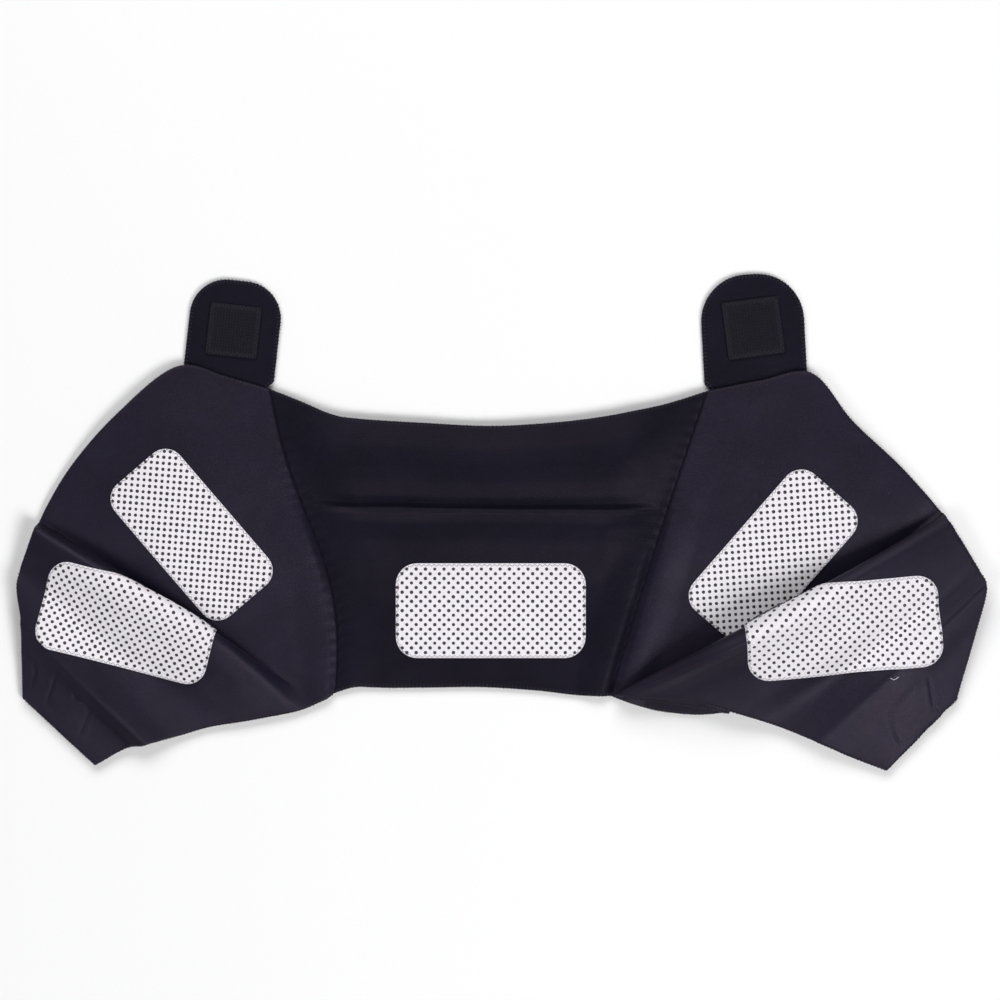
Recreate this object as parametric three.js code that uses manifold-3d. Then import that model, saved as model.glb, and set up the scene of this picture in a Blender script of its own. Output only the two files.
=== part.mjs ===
// A shoulder brace of soft black cloth, laid open with its inner side up.
// The back panel lies in the middle, a wing at each side of it, a closing tab above each wing.
// Millimetres, +X to the photo's right, +Y towards the tabs, +Z up from the surface it lies on.

import * as THREE from 'three';
import { mergeVertices } from 'three/addons/utils/BufferGeometryUtils.js';
import Module from 'manifold-3d';

const wasm = await Module();
wasm.setup();

// Driving dimensions

const CLOTH = 2.6;
const TAB_CLOTH = 2.4;
const PAD_THICKNESS = 1.0;
const HOOK_THICKNESS = 1.2;
const LOOP_THICKNESS = 1.0;
const GAP = 0.3;
const PLEAT_GAP = 1.6;

const BACK_NECK_WIDTH = 142;
const LEFT_SEAM_X = -85;
const NECK_LINE = -87;
const TOP_EDGE_DIP = 18.5;
const CREASE_SHARE = 0.61;
const PUFF = 5;
const PUFF_TAPER = 23;

const LEFT_REACH = 164;
const LEFT_RISE = 167;
const RIGHT_REACH = 194;
const RIGHT_RISE = 165;
const FOLD_HEIGHT = 26;

const TAB_OVERLAP = 10;
const LEFT_TAB_LENGTH = 50;
const LEFT_TAB_WIDTH = 47;
const LEFT_TAB_CORNER = 19;
const RIGHT_TAB_LENGTH = 55.5;
const RIGHT_TAB_WIDTH = 53;
const RIGHT_TAB_CORNER = 24;
const LEFT_HOOK_SIDE = 27;
const RIGHT_HOOK_SIDE = 30;
const HOOK_CORNER = 1.5;

const PAD_LENGTH = 98;
const PAD_WIDTH = 49;
const PAD_CORNER = 11;
const LOOP_LENGTH = 38;
const LOOP_WIDTH = 20;
const LOOP_CORNER = 2;

// Facets in each round corner of a patch

const CORNER_STEPS = 4;

// Sizes that follow from them: how far the cloth lies above what it covers

const PLEAT_PITCH = CLOTH + PLEAT_GAP;
const TAB_CLEARANCE = TAB_CLOTH + GAP;
const LOOP_CLEARANCE = LOOP_THICKNESS + GAP;

// The cloth rises onto the tab between these shares of the way from the neck edge to the rim.

const TAB_RISE_FROM_SHARE = 0.55;
const TAB_RISE_TO_SHARE = 0.9;

// Materials

const cloth = (color, roughness) => new THREE.MeshStandardMaterial({ color, roughness, metalness: 0 });
const WING_CLOTH = 0x2b2833;
const BACK_CLOTH = 0x1e1c26;
const PAD_CLOTH = 0xe6e2e8;
const HOOK_CLOTH = 0x25242e;

// Each row of a wing's table is a line in the cloth from the neck edge to the outer rim.
// neckOut, neckUp, rimOut, rimUp: where it starts and ends, as shares of the wing's reach and rise,
// measured from the lower end of the seam. bow and sway: how far it curves aside, shares of the reach.
// neckLift, nearLift, farLift, rimLift: its height at four even stations, shares of the fold height.
// layer: how many pleated layers lie under its neck end. overTab: 1 where its rim covers the tab.
// overLoop: 1 where a loop patch is sewn under it. steps: facets from the row before.

const columns = [
  'neckOut', 'neckUp', 'rimOut', 'rimUp', 'bow', 'sway',
  'neckLift', 'nearLift', 'farLift', 'rimLift', 'layer', 'overTab', 'overLoop', 'steps',
];
const table = (...rows) => rows.map((row) => Object.fromEntries(columns.map((name, i) => [name, row[i]])));

const LEFT_ROWS = table(
  [0.000, -0.006, 0.204, 0.931, -0.041, -0.024, 0.00, 0.00, 0.04, 0.00, 0, 1.0, 0, 1],
  [0.007, -0.011, 0.340, 0.969, -0.020, 0.000, 0.00, 0.04, 0.14, 0.00, 0, 1.0, 0, 3],
  [0.014, -0.016, 0.484, 1.004, 0.000, 0.000, 0.00, 0.06, 0.20, 0.02, 0, 1.0, 0, 3],
  [0.021, -0.021, 0.686, 0.854, 0.000, 0.000, 0.00, 0.06, 0.24, 0.12, 0, 0.3, 0, 3],
  [0.028, -0.026, 0.835, 0.687, 0.000, 0.000, 0.00, 0.05, 0.20, 0.08, 0, 0.0, 0, 3],
  [0.036, -0.030, 0.907, 0.569, 0.002, 0.000, 0.00, 0.04, 0.11, 0.07, 0, 0.0, 0, 2],
  [0.056, -0.039, 0.932, 0.518, -0.006, 0.000, 0.00, 0.01, 0.03, 0.04, 0, 0.0, 0, 1],
  [0.090, -0.053, 0.937, 0.508, -0.030, -0.010, 0.01, 0.28, 0.40, 0.20, 0, 0.0, 0, 2],
  [0.125, -0.063, 0.941, 0.500, -0.046, -0.013, 0.03, 0.56, 0.80, 0.38, 0, 0.0, 0, 2],
  [0.170, -0.072, 0.950, 0.475, -0.032, -0.010, 0.04, 0.56, 0.78, 0.38, 0, 0.0, 0, 2],
  [0.270, -0.090, 0.967, 0.428, -0.006, 0.000, 0.04, 0.36, 0.54, 0.32, 0, 0.0, 0, 2],
  [0.393, -0.111, 0.988, 0.372, 0.000, 0.000, 0.03, 0.18, 0.32, 0.24, 0, 0.0, 0, 3],
  [0.503, -0.142, 0.998, 0.325, 0.000, 0.000, 0.05, 0.20, 0.32, 0.30, 0, 0.0, 0.5, 2],
  [0.594, -0.165, 0.982, 0.215, 0.000, 0.000, 0.16, 0.34, 0.38, 0.28, 0, 0.0, 1, 2],
  [0.645, -0.172, 0.982, 0.123, 0.000, 0.000, 0.06, 0.18, 0.22, 0.16, 0, 0.0, 1, 2],
  [0.755, -0.230, 0.982, -0.022, 0.000, 0.000, 0.02, 0.02, 0.02, 0.02, 0, 0.0, 1, 2],
);

const RIGHT_ROWS = table(
  [0.000, -0.016, 0.255, 0.936, -0.005, 0.000, 0.00, 0.00, 0.03, 0.00, 0, 1.0, 0, 1],
  [0.059, -0.041, 0.399, 0.970, 0.000, 0.000, 0.00, 0.03, 0.12, 0.00, 0, 1.0, 0, 3],
  [0.117, -0.061, 0.530, 0.994, 0.000, 0.000, 0.00, 0.05, 0.18, 0.02, 0, 1.0, 0, 3],
  [0.170, -0.070, 0.642, 0.843, 0.000, 0.000, 0.00, 0.05, 0.22, 0.12, 0, 0.3, 0, 3],
  [0.223, -0.075, 0.766, 0.706, 0.000, 0.000, 0.00, 0.04, 0.20, 0.12, 0, 0.0, 0, 3],
  [0.266, -0.073, 0.846, 0.604, 0.000, 0.000, 0.00, 0.02, 0.11, 0.08, 0, 0.0, 0, 2],
  [0.296, -0.069, 0.873, 0.566, 0.000, 0.000, 0.00, 0.00, 0.03, 0.04, 0, 0.0, 0, 2],
  [0.308, -0.067, 0.879, 0.558, 0.000, 0.000, 0.00, 0.02, 0.05, 0.07, 0.5, 0.0, 0, 2],
  [0.296, -0.064, 0.886, 0.550, 0.000, 0.000, 0.00, 0.04, 0.11, 0.12, 1, 0.0, 0, 2],
  [0.030, -0.018, 0.889, 0.543, 0.010, 0.004, 0.00, 0.60, 0.64, 0.26, 1, 0.0, 0, 4],
  [0.012, -0.015, 0.893, 0.534, 0.000, 0.000, 0.00, 0.76, 0.76, 0.33, 1.5, 0.0, 0, 1],
  [0.032, -0.016, 0.904, 0.517, 0.010, 0.004, 0.00, 0.89, 0.84, 0.36, 2, 0.0, 0, 1],
  [0.105, -0.019, 0.915, 0.495, 0.004, 0.000, 0.00, 0.81, 0.77, 0.35, 2, 0.0, 0, 2],
  [0.200, -0.025, 0.934, 0.461, 0.000, 0.000, 0.00, 0.60, 0.62, 0.33, 2, 0.0, 0, 2],
  [0.325, -0.065, 0.959, 0.413, 0.000, 0.000, 0.00, 0.35, 0.40, 0.28, 2, 0.0, 0, 2],
  [0.430, -0.104, 0.980, 0.372, 0.000, 0.000, 0.02, 0.16, 0.24, 0.26, 0.6, 0.0, 0.5, 2],
  [0.553, -0.162, 0.995, 0.332, 0.000, 0.000, 0.14, 0.36, 0.42, 0.34, 0, 0.0, 1, 2],
  [0.644, -0.209, 0.969, 0.188, 0.000, 0.000, 0.06, 0.20, 0.24, 0.20, 0, 0.0, 1, 2],
  [0.734, -0.250, 0.919, -0.025, 0.000, 0.000, 0.02, 0.02, 0.02, 0.02, 0, 0.0, 1, 2],
);

// The cloth's columns, from the neck edge to the upper edge, the same in all three panels.
// band: the share of the way from the crease to the neck edge (below 0) or to the top edge (above 0).
// puff: how high the back panel stands there, as a share of the puff.

const BACK_PROFILE = [
  { band: -1.000, puff: 0.00 },
  { band: -0.880, puff: 0.00 },
  { band: -0.760, puff: 0.00 },
  { band: -0.640, puff: 0.00 },
  { band: -0.520, puff: 0.00 },
  { band: -0.400, puff: 0.14 },
  { band: -0.290, puff: 0.48 },
  { band: -0.180, puff: 0.82 },
  { band: -0.090, puff: 0.80 },
  { band: -0.035, puff: 0.42 },
  { band: 0.000, puff: 0.06 },
  { band: 0.050, puff: 0.46 },
  { band: 0.140, puff: 0.92 },
  { band: 0.300, puff: 1.15 },
  { band: 0.500, puff: 1.10 },
  { band: 0.700, puff: 0.85 },
  { band: 0.880, puff: 0.50 },
  { band: 1.000, puff: 0.25 },
];
const columnShare = (band) => CREASE_SHARE + band * (band < 0 ? CREASE_SHARE : 1 - CREASE_SHARE);
const COLUMN_SHARES = BACK_PROFILE.map(({ band }) => columnShare(band));

// Geometry helpers

const smooth = (low, high, x) => THREE.MathUtils.smoothstep(x, low, high);

// The middle surface of a wing's cloth along one row, from the neck edge to the rim.
function rowCurve(row, wing) {
  const neck = new THREE.Vector2(row.neckOut * wing.reach, row.neckUp * wing.rise);
  const rim = new THREE.Vector2(row.rimOut * wing.reach, row.rimUp * wing.rise);
  const along = rim.clone().sub(neck);
  const aside = new THREE.Vector2(along.y, -along.x).normalize();
  const lifts = [row.neckLift, row.nearLift, row.farLift, row.rimLift];
  const stations = lifts.map((lift, i) => {
    const v = i / (lifts.length - 1);
    return new THREE.Vector3(v, lift * FOLD_HEIGHT, 0);
  });
  const profile = new THREE.CatmullRomCurve3(stations, false, 'catmullrom', 0.5);
  return (v) => {
    const swing = (row.bow * Math.sin(Math.PI * v) + row.sway * Math.sin(2 * Math.PI * v)) * wing.reach;
    const plan = neck.clone().addScaledVector(along, v).addScaledVector(aside, swing);
    const pleat = row.layer * PLEAT_PITCH * (1 - v);
    const tab = row.overTab * TAB_CLEARANCE * smooth(TAB_RISE_FROM_SHARE, TAB_RISE_TO_SHARE, v);
    const loop = row.overLoop * LOOP_CLEARANCE;
    const z = CLOTH / 2 + profile.getPoint(v).y + pleat + tab + loop;
    return new THREE.Vector3(wing.seamX + wing.side * plan.x, NECK_LINE + plan.y, z);
  };
}

// A grid of points: one list for each facet row, with a point for each column from neck to rim.
// rowStart keeps the facet row on which each table row lies.
function wingGrid(rows, wing) {
  const curves = rows.map((row) => rowCurve(row, wing));
  const across = COLUMN_SHARES.map((v) => {
    const points = curves.map((curve) => curve(v));
    return new THREE.CatmullRomCurve3(points, false, 'centripetal');
  });
  const shares = [0];
  const rowStart = [0];
  for (let i = 1; i < rows.length; i += 1) {
    for (let s = 1; s <= rows[i].steps; s += 1) {
      shares.push((i - 1 + s / rows[i].steps) / (rows.length - 1));
    }
    rowStart.push(shares.length - 1);
  }
  const grid = shares.map((share) => across.map((curve) => {
    const point = curve.getPoint(share);
    point.z = Math.max(point.z, CLOTH / 2);
    return point;
  }));
  return { grid, rowStart, seam: curves[0] };
}

// Unit normals of a grid of points. They stand upright along a seam, so that two panels meet squarely.
function gridNormals(grid, flip, seams) {
  return grid.map((line, i) => line.map((point, j) => {
    const before = grid[Math.max(i - 1, 0)][j];
    const after = grid[Math.min(i + 1, grid.length - 1)][j];
    const inward = line[Math.max(j - 1, 0)];
    const outward = line[Math.min(j + 1, line.length - 1)];
    const a = after.clone().sub(before);
    const b = outward.clone().sub(inward);
    return seams.includes(i) ? new THREE.Vector3(0, 0, 1) : a.cross(b).normalize().multiplyScalar(flip);
  }));
}

// A closed solid between two offsets from a grid, over a range of its facet rows.
function layer(sheet, low, high, from = 0, to = sheet.grid.length - 1) {
  const lines = sheet.grid.slice(from, to + 1);
  const normals = sheet.normals.slice(from, to + 1);
  const wide = lines[0].length;
  const tall = lines.length;
  const positions = [];
  for (const offset of [low, high]) {
    lines.forEach((line, i) => line.forEach((point, j) => {
      const p = point.clone().addScaledVector(normals[i][j], offset);
      positions.push(p.x, p.y, p.z);
    }));
  }
  const at = (side, i, j) => side * wide * tall + i * wide + j;
  const index = [];
  const quad = (a, b, c, d) => index.push(a, b, c, a, c, d);
  for (let i = 0; i + 1 < tall; i += 1) {
    for (let j = 0; j + 1 < wide; j += 1) {
      quad(at(1, i, j), at(1, i + 1, j), at(1, i + 1, j + 1), at(1, i, j + 1));
      quad(at(0, i, j), at(0, i, j + 1), at(0, i + 1, j + 1), at(0, i + 1, j));
    }
    quad(at(0, i, 0), at(0, i + 1, 0), at(1, i + 1, 0), at(1, i, 0));
    quad(at(0, i + 1, wide - 1), at(0, i, wide - 1), at(1, i, wide - 1), at(1, i + 1, wide - 1));
  }
  for (let j = 0; j + 1 < wide; j += 1) {
    quad(at(0, 0, j + 1), at(0, 0, j), at(1, 0, j), at(1, 0, j + 1));
    quad(at(0, tall - 1, j), at(0, tall - 1, j + 1), at(1, tall - 1, j + 1), at(1, tall - 1, j));
  }
  if (sheet.flip < 0) {
    for (let k = 0; k < index.length; k += 3) {
      [index[k + 1], index[k + 2]] = [index[k + 2], index[k + 1]];
    }
  }
  const geometry = new THREE.BufferGeometry();
  geometry.setAttribute('position', new THREE.Float32BufferAttribute(positions, 3));
  geometry.setIndex(index);
  return geometry;
}

function toSolid(geometry) {
  const bare = geometry.clone();
  bare.deleteAttribute('normal');
  bare.deleteAttribute('uv');
  const merged = mergeVertices(bare, 1e-4);
  return new wasm.Manifold(new wasm.Mesh({
    numProp: 3,
    vertProperties: new Float32Array(merged.attributes.position.array),
    triVerts: new Uint32Array(merged.index.array),
  }));
}

function toGeometry(solid) {
  const mesh = solid.getMesh();
  const geometry = new THREE.BufferGeometry();
  geometry.setAttribute('position', new THREE.Float32BufferAttribute(mesh.vertProperties, 3));
  geometry.setIndex(Array.from(mesh.triVerts));
  return geometry;
}

// A rectangle with round corners, its centre at 0, 0.
function roundedRectangle(length, width, corner) {
  const x = length / 2;
  const y = width / 2;
  const shape = new THREE.Shape();
  shape.moveTo(corner - x, -y);
  shape.absarc(x - corner, corner - y, corner, -Math.PI / 2, 0);
  shape.absarc(x - corner, y - corner, corner, 0, Math.PI / 2);
  shape.absarc(corner - x, y - corner, corner, Math.PI / 2, Math.PI);
  shape.absarc(corner - x, corner - y, corner, Math.PI, Math.PI * 1.5);
  shape.closePath();
  return shape;
}

const plate = (shape, depth) => new THREE.ExtrudeGeometry(shape, {
  depth, bevelEnabled: false, curveSegments: CORNER_STEPS,
});

const pieces = new THREE.Group();
function add(name, geometry, material) {
  geometry.computeVertexNormals();
  const mesh = new THREE.Mesh(geometry, material);
  mesh.name = name;
  pieces.add(mesh);
  return mesh;
}

// A patch sewn on a sheet: the layer beside the cloth, cut to an outline seen from above.
// stretch and squeeze are how long and wide the outline looks from above on the sloping cloth.
function sewnPatch(sheet, spot, low, high) {
  const shape = roundedRectangle(spot.length * spot.stretch, spot.width * spot.squeeze, spot.corner);
  const top = sheet.reach;
  const cutter = plate(shape, 2 * top);
  cutter.rotateZ(spot.side * THREE.MathUtils.degToRad(spot.angle));
  const x = sheet.seamX + spot.side * spot.out * sheet.reach;
  cutter.translate(x, NECK_LINE + spot.up * sheet.rise, -top);
  const skin = layer(sheet, low, high, sheet.rowStart[spot.fromRow], sheet.rowStart[spot.toRow]);
  return toGeometry(toSolid(skin).intersect(toSolid(cutter)));
}

// Wings

const seamX = { left: LEFT_SEAM_X - GAP / 2, right: LEFT_SEAM_X + BACK_NECK_WIDTH + GAP / 2 };
function makeWing(rows, wing) {
  const sheet = { ...wing, ...wingGrid(rows, wing), flip: wing.side };
  sheet.normals = gridNormals(sheet.grid, sheet.flip, [0]);
  return sheet;
}
const leftWing = makeWing(LEFT_ROWS, { side: -1, seamX: seamX.left, reach: LEFT_REACH, rise: LEFT_RISE });
const rightWing = makeWing(RIGHT_ROWS, { side: 1, seamX: seamX.right, reach: RIGHT_REACH, rise: RIGHT_RISE });
add('left_wing', layer(leftWing, -CLOTH / 2, CLOTH / 2), cloth(WING_CLOTH, 0.9));
add('right_wing', layer(rightWing, -CLOTH / 2, CLOTH / 2), cloth(WING_CLOTH, 0.9));

// Back panel: across is the share of the way from the left seam to the right one.
// neckRise and topDip: how far the neck edge rises and the top edge falls there, shares of the dip.
// steps: facets from the row before.

const BACK_ROWS = [
  { across: 0.00, neckRise: 0.00, topDip: 0.00, steps: 1 },
  { across: 0.07, neckRise: 0.16, topDip: 0.34, steps: 2 },
  { across: 0.14, neckRise: 0.16, topDip: 0.70, steps: 1 },
  { across: 0.20, neckRise: 0.15, topDip: 0.82, steps: 1 },
  { across: 0.34, neckRise: 0.17, topDip: 0.92, steps: 2 },
  { across: 0.53, neckRise: 0.20, topDip: 1.00, steps: 2 },
  { across: 0.72, neckRise: 0.13, topDip: 0.81, steps: 2 },
  { across: 0.86, neckRise: 0.02, topDip: 0.50, steps: 2 },
  { across: 0.93, neckRise: -0.01, topDip: 0.28, steps: 1 },
  { across: 1.00, neckRise: 0.00, topDip: 0.00, steps: 2 },
];

const spline = (rows, key) => {
  const points = rows.map((row, i) => new THREE.Vector3(i, row[key], 0));
  const curve = new THREE.CatmullRomCurve3(points, false, 'catmullrom', 0.5);
  return (share) => curve.getPoint(share).y;
};

function makeBack() {
  const across = spline(BACK_ROWS, 'across');
  const neckRise = spline(BACK_ROWS, 'neckRise');
  const topDip = spline(BACK_ROWS, 'topDip');
  const shares = [0];
  for (let i = 1; i < BACK_ROWS.length; i += 1) {
    for (let s = 1; s <= BACK_ROWS[i].steps; s += 1) {
      shares.push((i - 1 + s / BACK_ROWS[i].steps) / (BACK_ROWS.length - 1));
    }
  }
  const grid = shares.map((share) => {
    const u = THREE.MathUtils.clamp(across(share), 0, 1);
    const fromSeam = Math.min(u, 1 - u) * BACK_NECK_WIDTH;
    const taper = smooth(0, PUFF_TAPER, fromSeam);
    return BACK_PROFILE.map(({ band, puff }) => {
      const v = columnShare(band);
      const left = leftWing.seam(v);
      const right = rightWing.seam(v);
      left.x += GAP;
      right.x -= GAP;
      const point = left.lerp(right, u);
      const pull = band < 0 ? neckRise(share) * band * band : -topDip(share) * band;
      point.y += pull * TOP_EDGE_DIP;
      point.z = Math.max(point.z + puff * PUFF * taper, CLOTH / 2);
      return point;
    });
  });
  const rowStart = [0, grid.length - 1];
  const sheet = {
    grid, rowStart, side: 1, seamX: seamX.left, reach: BACK_NECK_WIDTH, rise: BACK_NECK_WIDTH, flip: 1,
  };
  sheet.normals = gridNormals(grid, 1, rowStart);
  return sheet;
}
const back = makeBack();
add('back_panel', layer(back, -CLOTH / 2, CLOTH / 2), cloth(BACK_CLOTH, 0.9));

// Pads. out and up place the middle as shares of the panel's reach and rise, angle turns it.
// stretch and squeeze: its length and width as seen from above, shares of the real ones.

const PADS = [
  { name: 'center_pad', on: back, out: 0.565, up: 0.291, angle: 0, stretch: 1, squeeze: 1,
    fromRow: 0, toRow: 1 },
  { name: 'left_upper_pad', on: leftWing, out: 0.450, up: 0.482, angle: 49.5, stretch: 0.91, squeeze: 0.905,
    fromRow: 0, toRow: 6 },
  { name: 'left_lower_pad', on: leftWing, out: 0.649, up: 0.211, angle: 14.3, stretch: 0.92, squeeze: 0.947,
    fromRow: 7, toRow: 13 },
  { name: 'right_upper_pad', on: rightWing, out: 0.431, up: 0.414, angle: 49, stretch: 0.95, squeeze: 0.925,
    fromRow: 0, toRow: 6 },
  { name: 'right_lower_pad', on: rightWing, out: 0.613, up: 0.198, angle: 5, stretch: 1.03, squeeze: 0.96,
    fromRow: 10, toRow: 18 },
];
for (const pad of PADS) {
  const spot = { ...pad, side: pad.on.side, length: PAD_LENGTH, width: PAD_WIDTH, corner: PAD_CORNER };
  const low = CLOTH / 2 + GAP;
  add(pad.name, sewnPatch(pad.on, spot, low, low + PAD_THICKNESS), cloth(PAD_CLOTH, 0.85));
}

// Loop patches under the corner flaps

const LOOPS = [
  { name: 'left_loop_patch', on: leftWing, out: 0.789, up: -0.037, angle: 41.7, fromRow: 12, toRow: 15 },
  { name: 'right_loop_patch', on: rightWing, out: 0.811, up: -0.05, angle: 43, fromRow: 15, toRow: 18 },
];
for (const loop of LOOPS) {
  const spot = {
    ...loop, side: loop.on.side, length: LOOP_LENGTH, width: LOOP_WIDTH, corner: LOOP_CORNER,
    stretch: 1, squeeze: 1,
  };
  const high = -CLOTH / 2 - GAP;
  add(loop.name, sewnPatch(loop.on, spot, high - LOOP_THICKNESS, high), cloth(HOOK_CLOTH, 0.95));
}

// Closing tabs: flat strips with a round end, tucked under the wing's upper edge.
// out and up place the strip where the wing's edge crosses it, shares of the wing's reach and rise.
// lean and hookTurn turn the strip and its hook patch, hookUp is the patch's place, a share of its length.

function tabShape(width, length, corner) {
  const x = width / 2;
  const shape = new THREE.Shape();
  shape.moveTo(TAB_OVERLAP - x, -TAB_OVERLAP);
  shape.lineTo(x - TAB_OVERLAP, -TAB_OVERLAP);
  shape.lineTo(x, 0);
  shape.absarc(x - corner, length - corner, corner, 0, Math.PI / 2);
  shape.absarc(corner - x, length - corner, corner, Math.PI / 2, Math.PI);
  shape.lineTo(-x, 0);
  shape.closePath();
  return shape;
}

const TABS = [
  { name: 'left', on: leftWing, out: 0.336, up: 0.969, lean: -6.4, hookTurn: 0, hookUp: 0.48,
    length: LEFT_TAB_LENGTH, width: LEFT_TAB_WIDTH, corner: LEFT_TAB_CORNER, hook: LEFT_HOOK_SIDE },
  { name: 'right', on: rightWing, out: 0.387, up: 0.966, lean: 3.1, hookTurn: 4.4, hookUp: 0.5,
    length: RIGHT_TAB_LENGTH, width: RIGHT_TAB_WIDTH, corner: RIGHT_TAB_CORNER, hook: RIGHT_HOOK_SIDE },
];
for (const tab of TABS) {
  const x = tab.on.seamX + tab.on.side * tab.out * tab.on.reach;
  const y = NECK_LINE + tab.up * tab.on.rise;
  const place = new THREE.Matrix4().makeRotationZ(THREE.MathUtils.degToRad(tab.lean)).setPosition(x, y, 0);
  const strip = plate(tabShape(tab.width, tab.length, tab.corner), TAB_CLOTH);
  strip.applyMatrix4(place);
  add(`${tab.name}_tab`, strip, cloth(BACK_CLOTH, 0.9));
  const hook = plate(roundedRectangle(tab.hook, tab.hook, HOOK_CORNER), HOOK_THICKNESS);
  hook.rotateZ(THREE.MathUtils.degToRad(tab.hookTurn));
  hook.translate(0, tab.hookUp * tab.length, TAB_CLOTH + GAP);
  hook.applyMatrix4(place);
  add(`${tab.name}_hook_patch`, hook, cloth(HOOK_CLOTH, 0.8));
}

// The origin is the middle of the brace, on the surface it lies on.

const box = new THREE.Box3().setFromObject(pieces);
const middle = box.getCenter(new THREE.Vector3());
pieces.position.set(-middle.x, -middle.y, -box.min.z);

export default pieces;
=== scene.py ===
# %% [markdown]
# # A soft shoulder brace, laid open
#
# The brace lies on a pale table with its inner side up: a black back panel in the middle, a wing on each
# side whose cloth folds up into a crest, two closing tabs with woven hook squares, and five white pads
# with raised dots.
#
# The imported solids hold every piece's place and size. This script repeats their short tables of rows and
# samples them much more finely, so the cloth gets rounded edges, stitches, weave and soft dents and still
# lies where the solids lie. First it loads the frame and keeps each solid where it stands.

import math

import bpy
import numpy as np
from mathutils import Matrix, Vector, noise
from mathutils.bvhtree import BVHTree
from mathutils.geometry import barycentric_transform


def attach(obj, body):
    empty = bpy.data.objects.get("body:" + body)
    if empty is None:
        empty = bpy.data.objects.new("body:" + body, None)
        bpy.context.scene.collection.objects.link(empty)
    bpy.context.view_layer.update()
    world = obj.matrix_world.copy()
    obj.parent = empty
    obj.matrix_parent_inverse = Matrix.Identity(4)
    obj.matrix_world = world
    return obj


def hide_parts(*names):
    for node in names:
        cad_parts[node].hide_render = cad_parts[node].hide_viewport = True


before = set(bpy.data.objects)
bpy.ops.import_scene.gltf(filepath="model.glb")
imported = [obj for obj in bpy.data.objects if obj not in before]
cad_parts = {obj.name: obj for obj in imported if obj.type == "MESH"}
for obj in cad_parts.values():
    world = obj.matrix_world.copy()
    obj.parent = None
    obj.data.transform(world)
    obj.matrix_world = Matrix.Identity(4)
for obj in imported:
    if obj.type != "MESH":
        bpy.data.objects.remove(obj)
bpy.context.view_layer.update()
print("nodes in the frame:", len(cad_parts))

# %% [markdown]
# ## Sizes
#
# Cloth work is thought of in millimetres, so the sizes are named here in millimetres and turned into metres
# only when a mesh is made. They are the real sizes of the brace: the cloth is 2.6 mm thick, a pad is
# 98 by 49 mm.

# %% Named sizes
MM = 0.001
CLOTH = 2.6
TAB_CLOTH = 2.4
PAD_THICKNESS = 1.0
HOOK_THICKNESS = 1.2
LOOP_THICKNESS = 1.0
GAP = 0.3
PLEAT_GAP = 1.6

BACK_NECK_WIDTH = 142
LEFT_SEAM_X = -85
NECK_LINE = -87
TOP_EDGE_DIP = 18.5
CREASE_SHARE = 0.61
PUFF = 5
PUFF_TAPER = 23

FOLD_HEIGHT = 26
TAB_OVERLAP = 10
TAB_RISE = (0.55, 0.9)

PAD_LENGTH = 98
PAD_WIDTH = 49
PAD_CORNER = 11
LOOP_LENGTH = 38
LOOP_WIDTH = 20
LOOP_CORNER = 2
HOOK_CORNER = 1.5

PLEAT_PITCH = CLOTH + PLEAT_GAP
TAB_CLEARANCE = TAB_CLOTH + GAP
LOOP_CLEARANCE = LOOP_THICKNESS + GAP

# Half the cloth's thickness at an overlocked edge and at a seam, and how far in each of them rounds off.
EDGE_HALF = 0.75
EDGE_ROUND = 1.8
SEAM_HALF = 0.7
SEAM_ROUND = 2.2

# Heights of wrinkles, puckers, ridges and pressed lines in the cloth, and the sizes of their features.
BROAD_WRINKLE = 0.9
BROAD_SIZE = 38
SMALL_WRINKLE = 0.14
SMALL_SIZE = 9
PUCKER = 0.3
PUCKER_PITCH = 6.3
PUCKER_REACH = 3.2
RIDGE_HEIGHT = 0.9
RIDGE_REACH = 2.0
PRESSED_DEPTH = 0.25
PRESSED_LIP = 0.10

# The middle of the brace, seen from the place that the tables measure from.
MIDDLE = np.array([0.655, -0.177, 0.0])

# One pixel of the photograph in millimetres, and the pixel on which the tables' own zero point lies.
PIXEL = 0.5155
ZERO_PIXEL = np.array([500, 522])
print("cloth", CLOTH, "mm, pads", PAD_LENGTH, "x", PAD_WIDTH, "mm")

# %% [markdown]
# ## Rows of cloth
#
# A wing is one piece of cloth that is folded. Each row of the table below is a line in that cloth, from the
# neck edge to the outer rim. Where rows turn back, the cloth has a pleat. Shares of the wing's reach and rise
# keep the table readable, and a spline through the rows gives the smooth sheet.

# %% Tables of rows
COLUMNS = (
    "neck_out neck_up rim_out rim_up bow sway neck_lift near_lift far_lift rim_lift "
    "layer over_tab over_loop steps"
).split()
LIFTS = COLUMNS[6:10]


def table(*rows):
    """Turns rows of numbers into one array for each named column."""
    return {name: np.array([row[i] for row in rows], float) for i, name in enumerate(COLUMNS)}


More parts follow.
